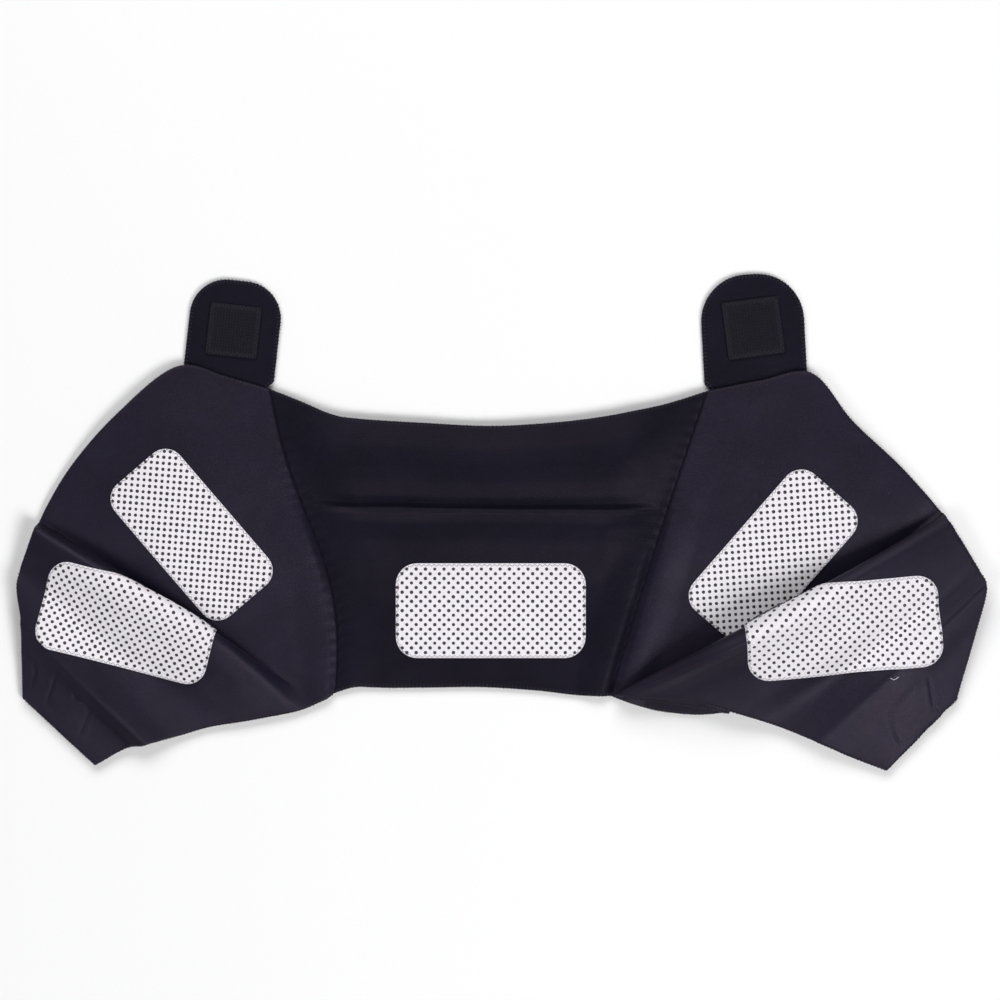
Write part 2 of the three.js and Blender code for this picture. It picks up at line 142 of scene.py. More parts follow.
LEFT_ROWS = table(
    (0.000, -0.006, 0.204, 0.931, -0.041, -0.024, 0.00, 0.00, 0.04, 0.00, 0, 1.0, 0, 1),
    (0.007, -0.011, 0.340, 0.969, -0.020, 0.000, 0.00, 0.04, 0.14, 0.00, 0, 1.0, 0, 3),
    (0.014, -0.016, 0.484, 1.004, 0.000, 0.000, 0.00, 0.06, 0.20, 0.02, 0, 1.0, 0, 3),
    (0.021, -0.021, 0.686, 0.854, 0.000, 0.000, 0.00, 0.06, 0.24, 0.12, 0, 0.3, 0, 3),
    (0.028, -0.026, 0.835, 0.687, 0.000, 0.000, 0.00, 0.05, 0.20, 0.08, 0, 0.0, 0, 3),
    (0.036, -0.030, 0.907, 0.569, 0.002, 0.000, 0.00, 0.04, 0.11, 0.07, 0, 0.0, 0, 2),
    (0.056, -0.039, 0.932, 0.518, -0.006, 0.000, 0.00, 0.01, 0.03, 0.04, 0, 0.0, 0, 1),
    (0.090, -0.053, 0.937, 0.508, -0.030, -0.010, 0.01, 0.28, 0.40, 0.20, 0, 0.0, 0, 2),
    (0.125, -0.063, 0.941, 0.500, -0.046, -0.013, 0.03, 0.56, 0.80, 0.38, 0, 0.0, 0, 2),
    (0.170, -0.072, 0.950, 0.475, -0.032, -0.010, 0.04, 0.56, 0.78, 0.38, 0, 0.0, 0, 2),
    (0.270, -0.090, 0.967, 0.428, -0.006, 0.000, 0.04, 0.36, 0.54, 0.32, 0, 0.0, 0, 2),
    (0.393, -0.111, 0.988, 0.372, 0.000, 0.000, 0.03, 0.18, 0.32, 0.24, 0, 0.0, 0, 3),
    (0.503, -0.142, 0.998, 0.325, 0.000, 0.000, 0.05, 0.20, 0.32, 0.30, 0, 0.0, 0.5, 2),
    (0.594, -0.165, 0.982, 0.215, 0.000, 0.000, 0.16, 0.34, 0.38, 0.28, 0, 0.0, 1, 2),
    (0.645, -0.172, 0.982, 0.123, 0.000, 0.000, 0.06, 0.18, 0.22, 0.16, 0, 0.0, 1, 2),
    (0.755, -0.230, 0.982, -0.022, 0.000, 0.000, 0.02, 0.02, 0.02, 0.02, 0, 0.0, 1, 2),
)

RIGHT_ROWS = table(
    (0.000, -0.016, 0.255, 0.936, -0.005, 0.000, 0.00, 0.00, 0.03, 0.00, 0, 1.0, 0, 1),
    (0.059, -0.041, 0.399, 0.970, 0.000, 0.000, 0.00, 0.03, 0.12, 0.00, 0, 1.0, 0, 3),
    (0.117, -0.061, 0.530, 0.994, 0.000, 0.000, 0.00, 0.05, 0.18, 0.02, 0, 1.0, 0, 3),
    (0.170, -0.070, 0.642, 0.843, 0.000, 0.000, 0.00, 0.05, 0.22, 0.12, 0, 0.3, 0, 3),
    (0.223, -0.075, 0.766, 0.706, 0.000, 0.000, 0.00, 0.04, 0.20, 0.12, 0, 0.0, 0, 3),
    (0.266, -0.073, 0.846, 0.604, 0.000, 0.000, 0.00, 0.02, 0.11, 0.08, 0, 0.0, 0, 2),
    (0.296, -0.069, 0.873, 0.566, 0.000, 0.000, 0.00, 0.00, 0.03, 0.04, 0, 0.0, 0, 2),
    (0.308, -0.067, 0.879, 0.558, 0.000, 0.000, 0.00, 0.02, 0.05, 0.07, 0.5, 0.0, 0, 2),
    (0.296, -0.064, 0.886, 0.550, 0.000, 0.000, 0.00, 0.04, 0.11, 0.12, 1, 0.0, 0, 2),
    (0.030, -0.018, 0.889, 0.543, 0.010, 0.004, 0.00, 0.60, 0.64, 0.26, 1, 0.0, 0, 4),
    (0.012, -0.015, 0.893, 0.534, 0.000, 0.000, 0.00, 0.76, 0.76, 0.33, 1.5, 0.0, 0, 1),
    (0.032, -0.016, 0.904, 0.517, 0.010, 0.004, 0.00, 0.89, 0.84, 0.36, 2, 0.0, 0, 1),
    (0.105, -0.019, 0.915, 0.495, 0.004, 0.000, 0.00, 0.81, 0.77, 0.35, 2, 0.0, 0, 2),
    (0.200, -0.025, 0.934, 0.461, 0.000, 0.000, 0.00, 0.60, 0.62, 0.33, 2, 0.0, 0, 2),
    (0.325, -0.065, 0.959, 0.413, 0.000, 0.000, 0.00, 0.35, 0.40, 0.28, 2, 0.0, 0, 2),
    (0.430, -0.104, 0.980, 0.372, 0.000, 0.000, 0.02, 0.16, 0.24, 0.26, 0.6, 0.0, 0.5, 2),
    (0.553, -0.162, 0.995, 0.332, 0.000, 0.000, 0.14, 0.36, 0.42, 0.34, 0, 0.0, 1, 2),
    (0.644, -0.209, 0.969, 0.188, 0.000, 0.000, 0.06, 0.20, 0.24, 0.20, 0, 0.0, 1, 2),
    (0.734, -0.250, 0.919, -0.025, 0.000, 0.000, 0.02, 0.02, 0.02, 0.02, 0, 0.0, 1, 2),
)
LEFT = dict(name="left", side=-1, seam_x=LEFT_SEAM_X, reach=164, rise=167, rows=LEFT_ROWS, ridge_row=13)
RIGHT_SEAM_X = LEFT_SEAM_X + BACK_NECK_WIDTH
RIGHT = dict(name="right", side=1, seam_x=RIGHT_SEAM_X, reach=194, rise=165, rows=RIGHT_ROWS, ridge_row=16)
print("rows in the left wing:", len(LEFT_ROWS["steps"]), "and in the right wing:", len(RIGHT_ROWS["steps"]))


# %% Splines through rows
def spline(points, at, centripetal=False):
    """A smooth curve through points, read at fractional row numbers."""
    points = np.asarray(points, float)
    count = len(points)
    held = np.concatenate([2 * points[:1] - points[1:2], points, 2 * points[-1:] - points[-2:-1]])
    first = np.minimum(np.floor(at).astype(int), count - 2)
    w = (at - first).reshape((-1,) + (1,) * (points.ndim - 1))
    p0, p1, p2, p3 = (held[first + k] for k in range(4))
    start = 0.5 * (p2 - p0)
    finish = 0.5 * (p3 - p1)
    if centripetal:
        d0, d1, d2 = (
            np.maximum(np.sum((b - a) ** 2, -1, keepdims=True) ** 0.25, 1e-4)
            for a, b in ((p0, p1), (p1, p2), (p2, p3))
        )
        start = ((p1 - p0) / d0 - (p2 - p0) / (d0 + d1) + (p2 - p1) / d1) * d1
        finish = ((p2 - p1) / d1 - (p3 - p1) / (d1 + d2) + (p3 - p2) / d2) * d1
    square = -3 * p1 + 3 * p2 - 2 * start - finish
    cube = 2 * p1 - 2 * p2 + start + finish
    return p1 + w * start + w**2 * square + w**3 * cube


def smooth(low, high, x):
    """0 below low, 1 above high, and an even rise between them."""
    t = np.clip((x - low) / (high - low), 0, 1)
    return t * t * (3 - 2 * t)


def row_lines(wing, v):
    """Every row of a wing's table at the shares v of its way from the neck edge to the rim."""
    rows = wing["rows"]
    size = np.array([wing["reach"], wing["rise"]])
    neck = np.stack([rows["neck_out"], rows["neck_up"]], 1) * size
    rim = np.stack([rows["rim_out"], rows["rim_up"]], 1) * size
    along = rim - neck
    aside = np.stack([along[:, 1], -along[:, 0]], 1)
    aside /= np.linalg.norm(aside, axis=1, keepdims=True)
    bow = rows["bow"][:, None] * np.sin(math.pi * v)
    sway = rows["sway"][:, None] * np.sin(2 * math.pi * v)
    swing = (bow + sway) * wing["reach"]
    plan = neck[:, None] + along[:, None] * v[None, :, None] + aside[:, None] * swing[..., None]
    lift = spline(np.stack([rows[name] for name in LIFTS]), 3 * v).T * FOLD_HEIGHT
    pleat = rows["layer"][:, None] * PLEAT_PITCH * (1 - v)
    tab = rows["over_tab"][:, None] * TAB_CLEARANCE * smooth(*TAB_RISE, v)
    loop = rows["over_loop"][:, None] * LOOP_CLEARANCE
    x = wing["seam_x"] + wing["side"] * plan[..., 0]
    y = NECK_LINE + plan[..., 1]
    return np.stack([x, y, CLOTH / 2 + lift + pleat + tab + loop], -1)


def fine_steps(steps, finer):
    """Row numbers with finer steps between the rows, and a few more beside the first and last row."""
    at = [np.array([0.0])]
    for i, count in enumerate(steps[1:]):
        at.append(i + np.arange(1, int(count) * finer + 1) / (int(count) * finer))
    last = len(steps) - 1
    return np.unique(np.concatenate(at + [np.array([last - 0.045, last - 0.02, last - 0.008])]))


EDGE_SHARES = np.array([0.0, 0.0015, 0.004, 0.0075, 0.012])
ACROSS = np.concatenate([EDGE_SHARES, np.linspace(0.018, 0.982, 132), 1 - EDGE_SHARES[::-1]])
print("columns across each panel:", len(ACROSS))

# %% [markdown]
# ## From a sheet to cloth
#
# A sheet of points becomes cloth in three steps. Its normals say which way the thickness goes. A little
# noise and a row of small puckers beside each seam give it the unevenness of sewn cloth. Then two copies
# of the sheet, one above and one below, are closed by a rounded edge, as an overlocked edge is.


# %% Sheet measures
def unit(vectors):
    """The same directions with length 1."""
    return vectors / np.maximum(np.linalg.norm(vectors, axis=-1, keepdims=True), 1e-9)


def arc(points, axis):
    """Distance walked along one direction of a sheet."""
    step = np.linalg.norm(np.diff(points, axis=axis), axis=-1)
    zero = np.zeros_like(np.take(step, [0], axis=axis))
    return np.concatenate([zero, np.cumsum(step, axis=axis)], axis=axis)


def back_from_end(distance, axis):
    """Distance from the far edge, given the distance from the near one."""
    return np.take(distance, [-1], axis=axis) - distance


def sheet_normals(mid, flip, from_seam):
    """Unit normals of a sheet. They turn upright at a seam, so that two panels meet squarely."""
    n = unit(np.cross(np.gradient(mid, axis=0), np.gradient(mid, axis=1)) * flip)
    upright = 1 - smooth(0, 5, from_seam)[..., None]
    return unit(n * (1 - upright) + np.array([0, 0, 1]) * upright)


def soft_noise(points, size, seed):
    """Smooth noise with features of a given size, the same on every run."""
    flat = points.reshape(-1, 3) / size + seed
    return np.array([noise.noise(Vector(p)) for p in flat]).reshape(points.shape[:-1])


def sewn_bumps(mid, from_seam, along_seam, welt, seed):
    """How far sewn cloth departs from a perfect sheet: soft wrinkles, a raised welt beside the seam and
    small puckers in it, all in millimetres."""
    broad = BROAD_WRINKLE * soft_noise(mid * np.array([1, 1, 0.3]), BROAD_SIZE, seed)
    small = SMALL_WRINKLE * soft_noise(mid, SMALL_SIZE, seed + 7)
    wave = np.sin(2 * math.pi * along_seam / PUCKER_PITCH + 4 * soft_noise(mid, 40, seed + 3))
    puckers = PUCKER * wave * np.exp(-from_seam / PUCKER_REACH) * smooth(0, 1.2, from_seam)
    rise = smooth(0, 6, from_seam) * (1 - smooth(7, 22, from_seam))
    return (broad + small) * smooth(0, 6, from_seam) + puckers + welt * rise


def rounded(distance, edge, full, width):
    """Half the thickness at a distance from an edge, with a quarter-round profile."""
    t = np.clip(distance / width, 0, 1)
    return edge + (full - edge) * np.sqrt(1 - (1 - t) ** 2)


def half_thickness(from_edge, from_seam):
    """Half the cloth's thickness, rounded at its free edges and drawn in a little at its seam."""
    at_edge = rounded(from_edge, EDGE_HALF, CLOTH / 2, EDGE_ROUND)
    at_seam = rounded(from_seam, SEAM_HALF, CLOTH / 2, SEAM_ROUND)
    return np.minimum(at_edge, at_seam)


print("widest wrinkles:", BROAD_WRINKLE, "mm high over", BROAD_SIZE, "mm")


# %% Mesh from points
def plain_mesh(name, points, faces, uv):
    """A smooth mesh from points in millimetres, with its UV map."""
    mesh = bpy.data.meshes.new(name)
    mesh.from_pydata(((points - MIDDLE) * MM).tolist(), [], faces)
    mesh.polygons.foreach_set("use_smooth", [True] * len(mesh.polygons))
    layer = mesh.uv_layers.new(name="UVMap")
    corners = np.empty(len(mesh.loops), int)
    mesh.loops.foreach_get("vertex_index", corners)
    layer.data.foreach_set("uv", uv[corners].astype(np.float32).ravel())
    return mesh


def finished(name, points, faces, uv, material):
    """An object in the scene with that mesh and one finish."""
    mesh = plain_mesh(name, points, faces, uv)
    mesh.materials.append(material)
    mesh.update()
    obj = bpy.data.objects.new(name, mesh)
    bpy.context.scene.collection.objects.link(obj)
    return obj


def grid_faces(tall, wide, flip):
    """Quads of a closed slab: an upper grid, a lower grid and the wall around them."""
    at = np.arange(2 * tall * wide).reshape(2, tall, wide)
    upper, lower = at[1], at[0]
    quads = [
        np.stack([upper[:-1, :-1], upper[1:, :-1], upper[1:, 1:], upper[:-1, 1:]], -1).reshape(-1, 4),
        np.stack([lower[:-1, :-1], lower[:-1, 1:], lower[1:, 1:], lower[1:, :-1]], -1).reshape(-1, 4),
        np.stack([lower[:-1, 0], lower[1:, 0], upper[1:, 0], upper[:-1, 0]], -1),
        np.stack([lower[1:, -1], lower[:-1, -1], upper[:-1, -1], upper[1:, -1]], -1),
        np.stack([lower[0, 1:], lower[0, :-1], upper[0, :-1], upper[0, 1:]], -1),
        np.stack([lower[-1, :-1], lower[-1, 1:], upper[-1, 1:], upper[-1, :-1]], -1),
    ]
    faces = np.concatenate(quads)
    return (faces[:, ::-1] if flip < 0 else faces).tolist()


def cloth_slab(name, sheet, material):
    """Closes a sheet into cloth with its own thickness, resting no lower than the table."""
    mid, normals, half = (sheet[key] for key in ("mid", "normals", "half"))
    top = mid + normals * half[..., None]
    low = mid - normals * half[..., None]
    low[..., 2] = np.maximum(low[..., 2], 0.0)
    uv = np.stack([sheet["along"], sheet["down"]], -1).reshape(-1, 2) * MM
    points = np.concatenate([low.reshape(-1, 3), top.reshape(-1, 3)])
    faces = grid_faces(*mid.shape[:2], sheet["side"])
    return finished(name, points, faces, np.concatenate([uv, uv]), material)


print("one cell of cloth closes into", len(grid_faces(2, 2, 1)), "faces")


# %% [markdown]
# ## Finishes
#
# All finishes are procedural. The black cloth is a fine stretch knit: rows of loops about 0.9 mm wide, a soft
# nap that catches light at low angles, and a little lint. Its rows follow the cloth's own UV map, so they run
# along the folds. The pads are white felt, the dots a dark rubbery print, and the tapes a ribbed weave.


# %% Node helpers
def shader(name, **sockets):
    """A material with a Principled shader whose constant values sit on its own sockets."""
    material = bpy.data.materials.new(name)
    material.use_nodes = True
    bsdf = material.node_tree.nodes["Principled BSDF"]
    for label, value in sockets.items():
        bsdf.inputs[label.replace("_", " ")].default_value = value
    return material, bsdf


def put(tree, kind, inputs=None, **settings):
    """Adds a node, sets its properties, and fills or links its inputs."""
    made = tree.nodes.new(kind)
    for key, value in settings.items():
        setattr(made, key, value)
    for key, value in (inputs or {}).items():
        if isinstance(value, bpy.types.NodeSocket):
            tree.links.new(value, made.inputs[key])
        else:
            made.inputs[key].default_value = value
    return made


def place_of(tree, label="Object"):
    """Where a pattern reads its place: the piece's own UV map or its object coordinates."""
    return put(tree, "ShaderNodeTexCoord").outputs[label]


def stripes(tree, place, pitch_mm, direction):
    """Soft bands across a piece, one every pitch."""
    scale = math.pi / (10 * pitch_mm * MM)
    made = put(tree, "ShaderNodeTexWave", {"Vector": place, "Scale": scale}, bands_direction=direction)
    return made.outputs["Fac"]


def speckle(tree, place, size_mm, detail=2.0):
    """Noise with features of about this size."""
    made = put(tree, "ShaderNodeTexNoise", {"Vector": place, "Scale": 1 / (size_mm * MM), "Detail": detail})
    return made.outputs["Fac"]


def mixed(tree, share, low, high):
    """A colour between two colours. Each is three numbers or a link."""
    low, high = (c if isinstance(c, bpy.types.NodeSocket) else (*c, 1) for c in (low, high))
    made = put(tree, "ShaderNodeMix", {"Factor": share, 6: low, 7: high}, data_type="RGBA")
    return made.outputs[2]


def step(tree, a, b=0.0, how="MULTIPLY"):
    """One math step on two values."""
    return put(tree, "ShaderNodeMath", {0: a, 1: b}, operation=how).outputs[0]


def contrast(tree, value, low, high):
    """Stretches the values from low to high over 0 to 1."""
    return put(tree, "ShaderNodeMapRange", {"Value": value, "From Min": low, "From Max": high}).outputs[0]


def relief(tree, bsdf, heights):
    """Bumps under each other: each is a height and its depth in millimetres."""
    normal = None
    for height, depth in heights:
        made = put(tree, "ShaderNodeBump", {"Height": height, "Distance": depth * MM, "Strength": 1.0})
        if normal is not None:
            tree.links.new(normal, made.inputs["Normal"])
        normal = made.outputs["Normal"]
    tree.links.new(normal, bsdf.inputs["Normal"])


# %% Cloth finish
def knit(name, dark, light, gloss, pitch=0.9, nap=0.02):
    """Black stretch knit: two close tones, fine rows of loops, a soft nap and a little lint."""
    material, bsdf = shader(name, Roughness=0.42, Specular_IOR_Level=gloss, Sheen_Weight=nap)
    bsdf.inputs["Sheen Roughness"].default_value = 0.5
    bsdf.inputs["Sheen Tint"].default_value = (0.78, 0.70, 0.92, 1)
    bsdf.inputs["Specular Tint"].default_value = (0.94, 0.80, 1.0, 1)
    tree = material.node_tree
    uv = place_of(tree, "UV")
    spot = place_of(tree)
    tone = mixed(tree, contrast(tree, speckle(tree, spot, 30, 3), 0.35, 0.65), dark, light)
    lint = contrast(tree, speckle(tree, spot, 1.1, 1), 0.78, 0.86)
    linted = mixed(tree, lint, tone, tuple(4 * c for c in light))
    tree.links.new(linted, bsdf.inputs["Base Color"])
    loops = step(tree, stripes(tree, uv, pitch, "X"), stripes(tree, uv, pitch * 0.8, "Y"))
    relief(tree, bsdf, [(loops, 0.05), (speckle(tree, spot, 0.4, 3), 0.10)])
    return material


WING_KNIT = knit("wing_knit", (0.0078, 0.0066, 0.0150), (0.0108, 0.0092, 0.0205), 0.20)
# The back knit is the wing knit's cloth in a darker copy. Its darker colours are painted shade, for the back
# panel facing the dim room above. The tab strips use this copy too.
BACK_KNIT_PAINTED_SHADE = knit("back_knit_painted_shade", (0.0045, 0.0042, 0.0090), (0.0063, 0.0058, 0.0124), 0.10)
print("cloth finishes:", WING_KNIT.name, "and", BACK_KNIT_PAINTED_SHADE.name)


# %% Pad, dot, thread and tape finishes
def felt():
    """White non-woven felt, with pressed fibres."""
    material, bsdf = shader("pad_felt", Roughness=0.9, Specular_IOR_Level=0.2, Sheen_Weight=0.1)
    tree = material.node_tree
    spot = place_of(tree)
    fibres = speckle(tree, spot, 1.6, 4)
    tree.links.new(mixed(tree, fibres, (0.76, 0.72, 0.77), (0.90, 0.87, 0.92)), bsdf.inputs["Base Color"])
    relief(tree, bsdf, [(speckle(tree, spot, 0.5, 4), 0.12)])
    return material


def grainy(name, dark, light, roughness, grain=0.6, nap=0.0, gloss=0.2):
    """A finish with two close tones and a fine grain."""
    material, bsdf = shader(name, Roughness=roughness, Specular_IOR_Level=gloss, Sheen_Weight=nap)
    tree = material.node_tree
    spot = place_of(tree)
    tree.links.new(mixed(tree, speckle(tree, spot, grain * 3), dark, light), bsdf.inputs["Base Color"])
    relief(tree, bsdf, [(speckle(tree, spot, grain), 0.04)])
    return material


def ribbed(name, dark, light):
    """Narrow woven tape: ribs one way, finer picks the other way."""
    material, bsdf = shader(name, Roughness=0.55, Specular_IOR_Level=0.12, Sheen_Weight=0.02)
    tree = material.node_tree
    uv = place_of(tree, "UV")
    ribs = stripes(tree, uv, 1.5, "X")
    picks = stripes(tree, uv, 0.6, "Y")
    tree.links.new(mixed(tree, ribs, dark, light), bsdf.inputs["Base Color"])
    relief(tree, bsdf, [(ribs, 0.12), (picks, 0.05)])
    return material


PAD_FELT = felt()
DOT_RUBBER = grainy("dot_rubber", (0.020, 0.017, 0.023), (0.034, 0.029, 0.038), 0.5, gloss=0.5)
# The overlock thread is black. Its colours here are a little paler than the cloth, and that paleness is
# painted sheen.
EDGE_THREAD_PAINTED_SHEEN = grainy("edge_thread_painted_sheen", (0.011, 0.010, 0.016), (0.024, 0.021, 0.032), 0.55, 0.4, 0.03)
# The tab and hook-border thread is black too. Its paler colours are painted sheen.
TAB_THREAD_PAINTED_SHEEN = grainy("tab_thread_painted_sheen", (0.018, 0.017, 0.026), (0.036, 0.033, 0.048), 0.55, 0.4, 0.05)
SEAM_THREAD = grainy("seam_thread", (0.004, 0.004, 0.006), (0.009, 0.008, 0.012), 0.6, 0.4)
PAD_THREAD = grainy("pad_thread", (0.15, 0.14, 0.16), (0.30, 0.28, 0.32), 0.6, 0.4)
PALE_THREAD = grainy("loose_thread", (0.60, 0.58, 0.64), (0.78, 0.76, 0.82), 0.8, 0.4)
HOOK_TAPE = ribbed("hook_tape", (0.0045, 0.0045, 0.0085), (0.0090, 0.0088, 0.0150))
HOOK_STRAND = grainy("hook_strand", (0.006, 0.006, 0.011), (0.013, 0.0125, 0.020), 0.4, 0.4)
LOOP_PILE = grainy("loop_pile", (0.008, 0.007, 0.011), (0.020, 0.018, 0.026), 0.95, 0.5, 0.1)
print("finishes:", len(bpy.data.materials))

# %% [markdown]
# ## The wings
#
# Each wing is sampled from its rows. The half thickness falls off at its free edges, where an overlock
# stitch pulls the cloth together, and a little at the seam, which gives the seam its groove. The outline of
# the loop patch sewn under each corner flap shows through as a shallow pressed line. Lines like that are
# short lists of pixels in the photograph, laid onto the cloth wherever it lies.

# %% Lines that show through the corner flaps
SHOW_THROUGH = dict(
    left=[
        [(58, 670), (53, 686), (48, 699), (55, 711), (70, 724), (83, 734)],
        [(74, 689), (76, 698), (87, 702), (90, 711), (85, 723), (80, 734)],
        [(27, 655), (35, 662), (37, 671), (33, 682)],
    ],
    right=[
        [(912, 689), (901, 699), (891, 712), (889, 720), (893, 733), (899, 743), (915, 736), (931, 725)],
        [(927, 680), (932, 704), (940, 712), (949, 707), (959, 699)],
    ],
)


def from_photo(pixels):
    """Places in the tables' millimetres for pixels of the photograph."""
    return (np.asarray(pixels, float) - ZERO_PIXEL) * np.array([PIXEL, -PIXEL])


def distance_to(line, points, closed=False):
    """Distance of flat points from a line of straight pieces."""
    best = np.full(points.shape[:-1], np.inf)
    after = np.roll(line, -1, axis=0)
    for a, b in list(zip(line, after))[: None if closed else -1]:
        d = b - a
        t = np.clip(((points - a) @ d) / max(d @ d, 1e-9), 0, 1)
        best = np.minimum(best, np.linalg.norm(points - a - t[..., None] * d, axis=-1))
    return best


print("pressed lines:", sum(len(lines) for lines in SHOW_THROUGH.values()))


# %% Wings
def make_wing(wing, welt, seed):
    """A wing's cloth, and its sheet for what is sewn on it."""
    layer = wing["rows"]["layer"]
    at = fine_steps(wing["rows"]["steps"], 5)
    mid = spline(row_lines(wing, ACROSS), at, centripetal=True)
    mid[..., 2] = np.maximum(mid[..., 2], CLOTH / 2)
    along = arc(mid, 1)
    down = arc(mid, 0)
    normals = sheet_normals(mid, wing["side"], down)
    calm = np.interp(at, np.arange(len(layer)), (layer == 0).astype(float))[:, None]
    low_on_seam = 1 - smooth(0.45, 0.8, ACROSS)[None]
    height = sewn_bumps(mid, down, along, welt * low_on_seam, seed) * (0.15 + 0.85 * calm)
    from_ridge = np.abs(down - down[np.argmin(np.abs(at - wing["ridge_row"]))])
    height += RIDGE_HEIGHT * np.exp(-from_ridge / RIDGE_REACH)
    flap = smooth(wing["ridge_row"] - 0.2, wing["ridge_row"] + 0.2, at)[:, None]
    for line in SHOW_THROUGH[wing["name"]]:
        near = distance_to(from_photo(line), mid[..., :2])
        height += flap * PRESSED_LIP * np.exp(-((near - 2) ** 2) / 2)
        height -= flap * PRESSED_DEPTH * np.exp(-(near**2) / 0.9)
    mid = mid + normals * height[..., None]
    mid[..., 2] = np.maximum(mid[..., 2], CLOTH / 2)
    edge = np.minimum(np.minimum(along, back_from_end(along, 1)), back_from_end(down, 0))
    sheet = dict(wing, at=at, mid=mid, half=half_thickness(edge, down), along=along, down=down)
    sheet["normals"] = sheet_normals(mid, wing["side"], down)
    return cloth_slab(wing["name"] + "_wing_cloth", sheet, WING_KNIT), sheet


left_wing, left_sheet = make_wing(LEFT, 1.2, 11)
right_wing, right_sheet = make_wing(RIGHT, 2.4, 23)
for wing in (left_wing, right_wing):
    print(wing.name, "has", len(wing.data.polygons), "faces")

# %% [markdown]
# ## The back panel
#
# The back panel hangs between the two seams. Its padding puffs up above a sewn crease and again below it,
# and it lies flat towards the neck edge. The puff is a short profile, and the crease itself is a narrow
# groove that a line of stitches pulls down.

# %% Back panel
BACK_ROWS = dict(
    across=[0.00, 0.07, 0.14, 0.20, 0.34, 0.53, 0.72, 0.86, 0.93, 1.00],
    neck_rise=[0.00, 0.16, 0.16, 0.15, 0.17, 0.20, 0.13, 0.02, -0.01, 0.00],
    top_dip=[0.00, 0.34, 0.70, 0.82, 0.92, 1.00, 0.81, 0.50, 0.28, 0.00],
    steps=[1, 2, 1, 1, 2, 2, 2, 2, 1, 2],
)
PUFF_BANDS = [-1.0, -0.52, -0.4, -0.29, -0.18, -0.09, -0.035, 0.0, 0.05, 0.14, 0.3, 0.5, 0.7, 0.88, 1.0]
PUFF_HEIGHTS = [0.0, 0.0, 0.14, 0.48, 0.82, 0.80, 0.42, 0.06, 0.46, 0.92, 1.15, 1.10, 0.85, 0.50, 0.25]


def make_back():
    """The back panel's cloth, between the wings' own seam lines."""
    near_crease = CREASE_SHARE + np.array([-0.02, -0.012, -0.006, 0.0, 0.006, 0.012, 0.02])
    v = np.unique(np.concatenate([ACROSS, near_crease]))
    at = fine_steps(BACK_ROWS["steps"], 9)
    at = np.unique(np.concatenate([at, [0.02, 0.05, 0.1, 0.2]]))
    u = np.clip(spline(np.array(BACK_ROWS["across"]), at), 0, 1)[:, None]
    rise = spline(np.array(BACK_ROWS["neck_rise"]), at)[:, None]
    dip = spline(np.array(BACK_ROWS["top_dip"]), at)[:, None]
    left = row_lines(LEFT, v)[0]
    right = row_lines(RIGHT, v)[0]
    mid = left[None] * (1 - u[..., None]) + right[None] * u[..., None]
    below = (v - CREASE_SHARE) / CREASE_SHARE
    band = np.where(v < CREASE_SHARE, below, (v - CREASE_SHARE) / (1 - CREASE_SHARE))
    puff = np.interp(band, PUFF_BANDS, PUFF_HEIGHTS)
    puff = np.convolve(np.pad(puff, 2, mode="edge"), [0.1, 0.22, 0.36, 0.22, 0.1], mode="valid")
    taper = smooth(0, PUFF_TAPER, np.minimum(u, 1 - u) * BACK_NECK_WIDTH)
    mid[..., 1] += np.where(band < 0, rise * band**2, -dip * band) * TOP_EDGE_DIP
    mid[..., 2] = np.maximum(mid[..., 2] + puff * PUFF * taper, CLOTH / 2)
    along = arc(mid, 1)
    down = arc(mid, 0)
    from_seam = np.minimum(down, back_from_end(down, 0))
    normals = sheet_normals(mid, 1, from_seam)
    welt = (1.0 + 1.2 * (u > 0.5)) * (1 - smooth(0.35, 0.6, v))
    mid = mid + normals * sewn_bumps(mid, from_seam, along, welt, 41)[..., None]
    mid[..., 2] = np.maximum(mid[..., 2], CLOTH / 2)
    edge = np.minimum(along, back_from_end(along, 1))
    sheet = dict(side=1, seam_x=LEFT_SEAM_X, reach=BACK_NECK_WIDTH, rise=BACK_NECK_WIDTH, at=at, mid=mid)
    sheet.update(half=half_thickness(edge, from_seam), along=along, down=down)
    sheet["normals"] = sheet_normals(mid, 1, from_seam)
    return cloth_slab("back_panel_cloth", sheet, BACK_KNIT_PAINTED_SHADE), sheet


back_panel, back_sheet = make_back()
print(back_panel.name, "has", len(back_panel.data.polygons), "faces")

# %% [markdown]
# ## Patches on curved cloth
#
# A pad is cut flat and sewn onto cloth that is already curved. Its outline is drawn as concentric rings. The
# cloth under it is unrolled into the patch's own flat coordinates, so each ring point finds its place on the
# cloth and the cloth's own normal there. Up on the crest the cloth turns over, and the unrolled rows go on at
# their own length, so that a pad can bend over it without tearing.


